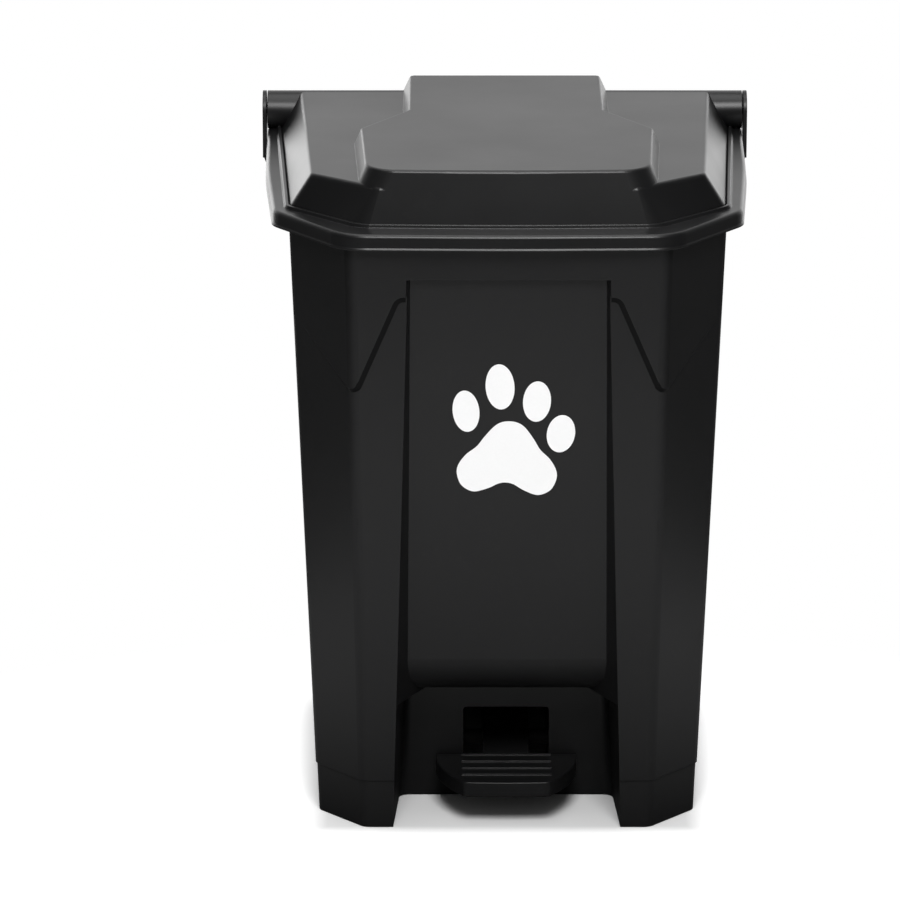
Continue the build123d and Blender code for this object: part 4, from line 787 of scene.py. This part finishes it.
def make_softbox(name, power, size, where, target):
    """Square area lamp that looks at a point."""
    lamp = bpy.data.lights.new(name, "AREA")
    lamp.shape = "SQUARE"
    lamp.size = size
    lamp.energy = power
    softbox = bpy.data.objects.new(name, lamp)
    softbox.location = where
    softbox.rotation_euler = (target - where).to_track_quat("-Z", "Y").to_euler()
    softbox.visible_camera = False
    bpy.context.scene.collection.objects.link(softbox)
    return softbox


def make_camera(stage):
    """Camera at the photograph's place and angle."""
    data = bpy.data.cameras.new("camera")
    data.sensor_width = SENSOR_WIDTH_MM
    data.lens = stage.focal_pixels / IMAGE_PIXELS * SENSOR_WIDTH_MM
    data.clip_end = 50.0
    camera = bpy.data.objects.new("camera", data)
    camera.location = (stage.camera_side, -stage.camera_back, stage.camera_height)
    camera.rotation_euler = (math.pi / 2 - stage.camera_pitch, 0.0, 0.0)
    bpy.context.scene.collection.objects.link(camera)
    bpy.context.scene.camera = camera


def outside_footprint(tree, where, half, reach):
    """Nought under the pail, rising to one at a distance from its foot."""
    apart = tree.nodes.new("ShaderNodeSeparateXYZ")
    tree.links.new(where, apart.inputs["Vector"])
    gaps = []
    for axis, centre, size in zip("XY", *half):
        offset = maths(tree, "ABSOLUTE", maths(tree, "SUBTRACT", apart.outputs[axis], centre), 0.0)
        gaps.append(maths(tree, "MAXIMUM", maths(tree, "SUBTRACT", offset, size), 0.0))
    squares = [maths(tree, "MULTIPLY", gap, gap) for gap in gaps]
    away = maths(tree, "SQRT", maths(tree, "ADD", squares[0], squares[1]), 0.0)
    return remap(tree, away, 0.0, reach)


def make_floor(stage):
    """Pale floor disc that fades into the white room; it keeps the pail's soft shadow from the lamps, paints
    a contact shadow where its glow stops at the pail's foot, and paints shade near the pail that only
    reflections see.
    """
    bpy.ops.mesh.primitive_circle_add(
        vertices=FLOOR_CORNERS,
        radius=stage.floor_radius,
        fill_type="NGON",
        location=(0, -stage.floor_forward, -FLOOR_DROP),
    )
    floor = bpy.context.object
    floor.name = "floor"
    material, tree, shader = new_material("pale_floor")
    shader.inputs["Roughness"].default_value = 0.9
    shader.inputs["IOR"].default_value = 1.05
    where = tree.nodes.new("ShaderNodeTexCoord")
    reach = tree.nodes.new("ShaderNodeVectorMath")
    reach.operation = "LENGTH"
    tree.links.new(where.outputs["Object"], reach.inputs[0])
    fade = remap(tree, reach.outputs["Value"], *(stage.floor_radius * share for share in FLOOR_FADE))
    half = ((0.0, stage.floor_forward), (stage.foot_half_width, stage.foot_half_depth))
    # Painted contact shadow: no glow over the pail's foot, fading in around it; under the foot the lamps'
    # own shade shows.
    clear = outside_footprint(tree, where.outputs["Object"], half, stage.painted_shadow_reach)
    # Painted shade seen only in reflections: glossy rays see the floor darkened near the pail.
    far = outside_footprint(tree, where.outputs["Object"], half, stage.reflected_shade_reach)
    rays = tree.nodes.new("ShaderNodeLightPath")
    seen = maths(tree, "MAXIMUM", rays.outputs["Is Camera Ray"], rays.outputs["Is Transmission Ray"])
    dim = remap(tree, far, 0.0, 1.0, stage.reflected_floor_shade, 1.0)
    full = maths(tree, "SUBTRACT", 1.0, rays.outputs["Is Glossy Ray"])
    bright = maths(tree, "MAXIMUM", full, dim)
    tree.links.new(two_tone(tree, bright, BLACK, stage.floor_colour), shader.inputs["Base Color"])
    lift = tree.nodes.new("ShaderNodeEmission")
    lifted = maths(tree, "MULTIPLY", maths(tree, "MULTIPLY", seen, clear), stage.floor_lift)
    tree.links.new(lifted, lift.inputs["Strength"])
    glow = tree.nodes.new("ShaderNodeAddShader")
    tree.links.new(shader.outputs["BSDF"], glow.inputs[0])
    tree.links.new(lift.outputs["Emission"], glow.inputs[1])
    white = tree.nodes.new("ShaderNodeEmission")
    mix = tree.nodes.new("ShaderNodeMixShader")
    tree.links.new(maths(tree, "MULTIPLY", fade, seen), mix.inputs["Fac"])
    tree.links.new(glow.outputs["Shader"], mix.inputs[1])
    tree.links.new(white.outputs["Emission"], mix.inputs[2])
    tree.links.new(mix.outputs["Shader"], tree.nodes["Material Output"].inputs["Surface"])
    floor.data.materials.append(material)


def make_room(stage):
    """World: white for the camera, a white backdrop behind the pail in reflections, a dim room elsewhere."""
    world = bpy.data.worlds.new("room")
    bpy.context.scene.world = world
    world.use_nodes = True
    tree = world.node_tree
    background = tree.nodes["Background"]
    background.inputs["Color"].default_value = (1.0, 1.0, 1.0, 1.0)
    where = tree.nodes.new("ShaderNodeTexCoord")
    apart = tree.nodes.new("ShaderNodeSeparateXYZ")
    tree.links.new(where.outputs["Generated"], apart.inputs["Vector"])
    behind = remap(tree, apart.outputs["Y"], *BACKDROP_DEPTH)
    above = remap(tree, apart.outputs["Z"], *BACKDROP_HEIGHT)
    wall = maths(tree, "MULTIPLY", maths(tree, "MULTIPLY", behind, above), stage.backdrop_gloss)
    rays = tree.nodes.new("ShaderNodeLightPath")
    clear = maths(tree, "MAXIMUM", rays.outputs["Is Camera Ray"], rays.outputs["Is Transmission Ray"])
    glossy = maths(tree, "MAXIMUM", wall, stage.room_gloss)
    shiny = maths(tree, "MULTIPLY", rays.outputs["Is Glossy Ray"], glossy)
    dull = maths(tree, "SUBTRACT", 1.0, rays.outputs["Is Glossy Ray"])
    plain = maths(tree, "ADD", shiny, maths(tree, "MULTIPLY", dull, stage.room_light))
    tree.links.new(maths(tree, "MAXIMUM", clear, plain), background.inputs["Strength"])


class PAIL_OT_stage(bpy.types.Operator):
    """Camera, pale floor and soft lights."""

    bl_idname = "pail.stage"
    bl_label = "Studio"

    def execute(self, context):
        stage = context.scene.pail_stage
        low, high = (Vector(corner) for corner in CAD_BOX)
        middle = (low + high) / 2
        make_camera(stage)
        make_floor(stage)
        make_room(stage)
        for name, (setting, size, where) in SOFTBOXES.items():
            make_softbox(name, getattr(stage, setting), size, Vector(where), middle)
        context.scene.view_settings.view_transform = "Standard"
        return {"FINISHED"}


OPERATORS = (
    PAIL_OT_stage,
    PAIL_OT_body,
    PAIL_OT_band,
    PAIL_OT_lid,
    PAIL_OT_pedal,
    PAIL_OT_linkage,
    PAIL_OT_bucket,
    PAIL_OT_print,
)


class PAIL_PT_sidebar(bpy.types.Panel):
    """Lists the pail's settings and operators."""

    bl_label = "Pail"
    bl_idname = "PAIL_PT_sidebar"
    bl_space_type = "VIEW_3D"
    bl_region_type = "UI"
    bl_category = "Pail"

    def draw(self, context):
        for name in SETTINGS:
            box = self.layout.box()
            group = getattr(context.scene, name)
            for label in group.bl_rna.properties.keys():
                if label not in {"rna_type", "name"}:
                    box.prop(group, label)
        for operator in OPERATORS:
            self.layout.operator(operator.bl_idname)


SETTINGS = {
    "pail_plastic": PailPlasticSettings,
    "pail_steel": PailSteelSettings,
    "pail_print": PailPrintSettings,
    "pail_stage": PailStageSettings,
}


def register():
    """Register the settings, the operators and the panel."""
    for name, group in SETTINGS.items():
        bpy.utils.register_class(group)
        setattr(bpy.types.Scene, name, PointerProperty(type=group))
    for operator in OPERATORS:
        bpy.utils.register_class(operator)
    bpy.utils.register_class(PAIL_PT_sidebar)


def unregister():
    """Remove what register added."""
    bpy.utils.unregister_class(PAIL_PT_sidebar)
    for operator in reversed(OPERATORS):
        bpy.utils.unregister_class(operator)
    for name, group in reversed(SETTINGS.items()):
        delattr(bpy.types.Scene, name)
        bpy.utils.unregister_class(group)


def main():
    """Register, then dress the pail and set the stage."""
    register()
    for operator in OPERATORS:
        prefix, name = operator.bl_idname.split(".")
        getattr(getattr(bpy.ops, prefix), name)()


if __name__ == "__main__":
    main()
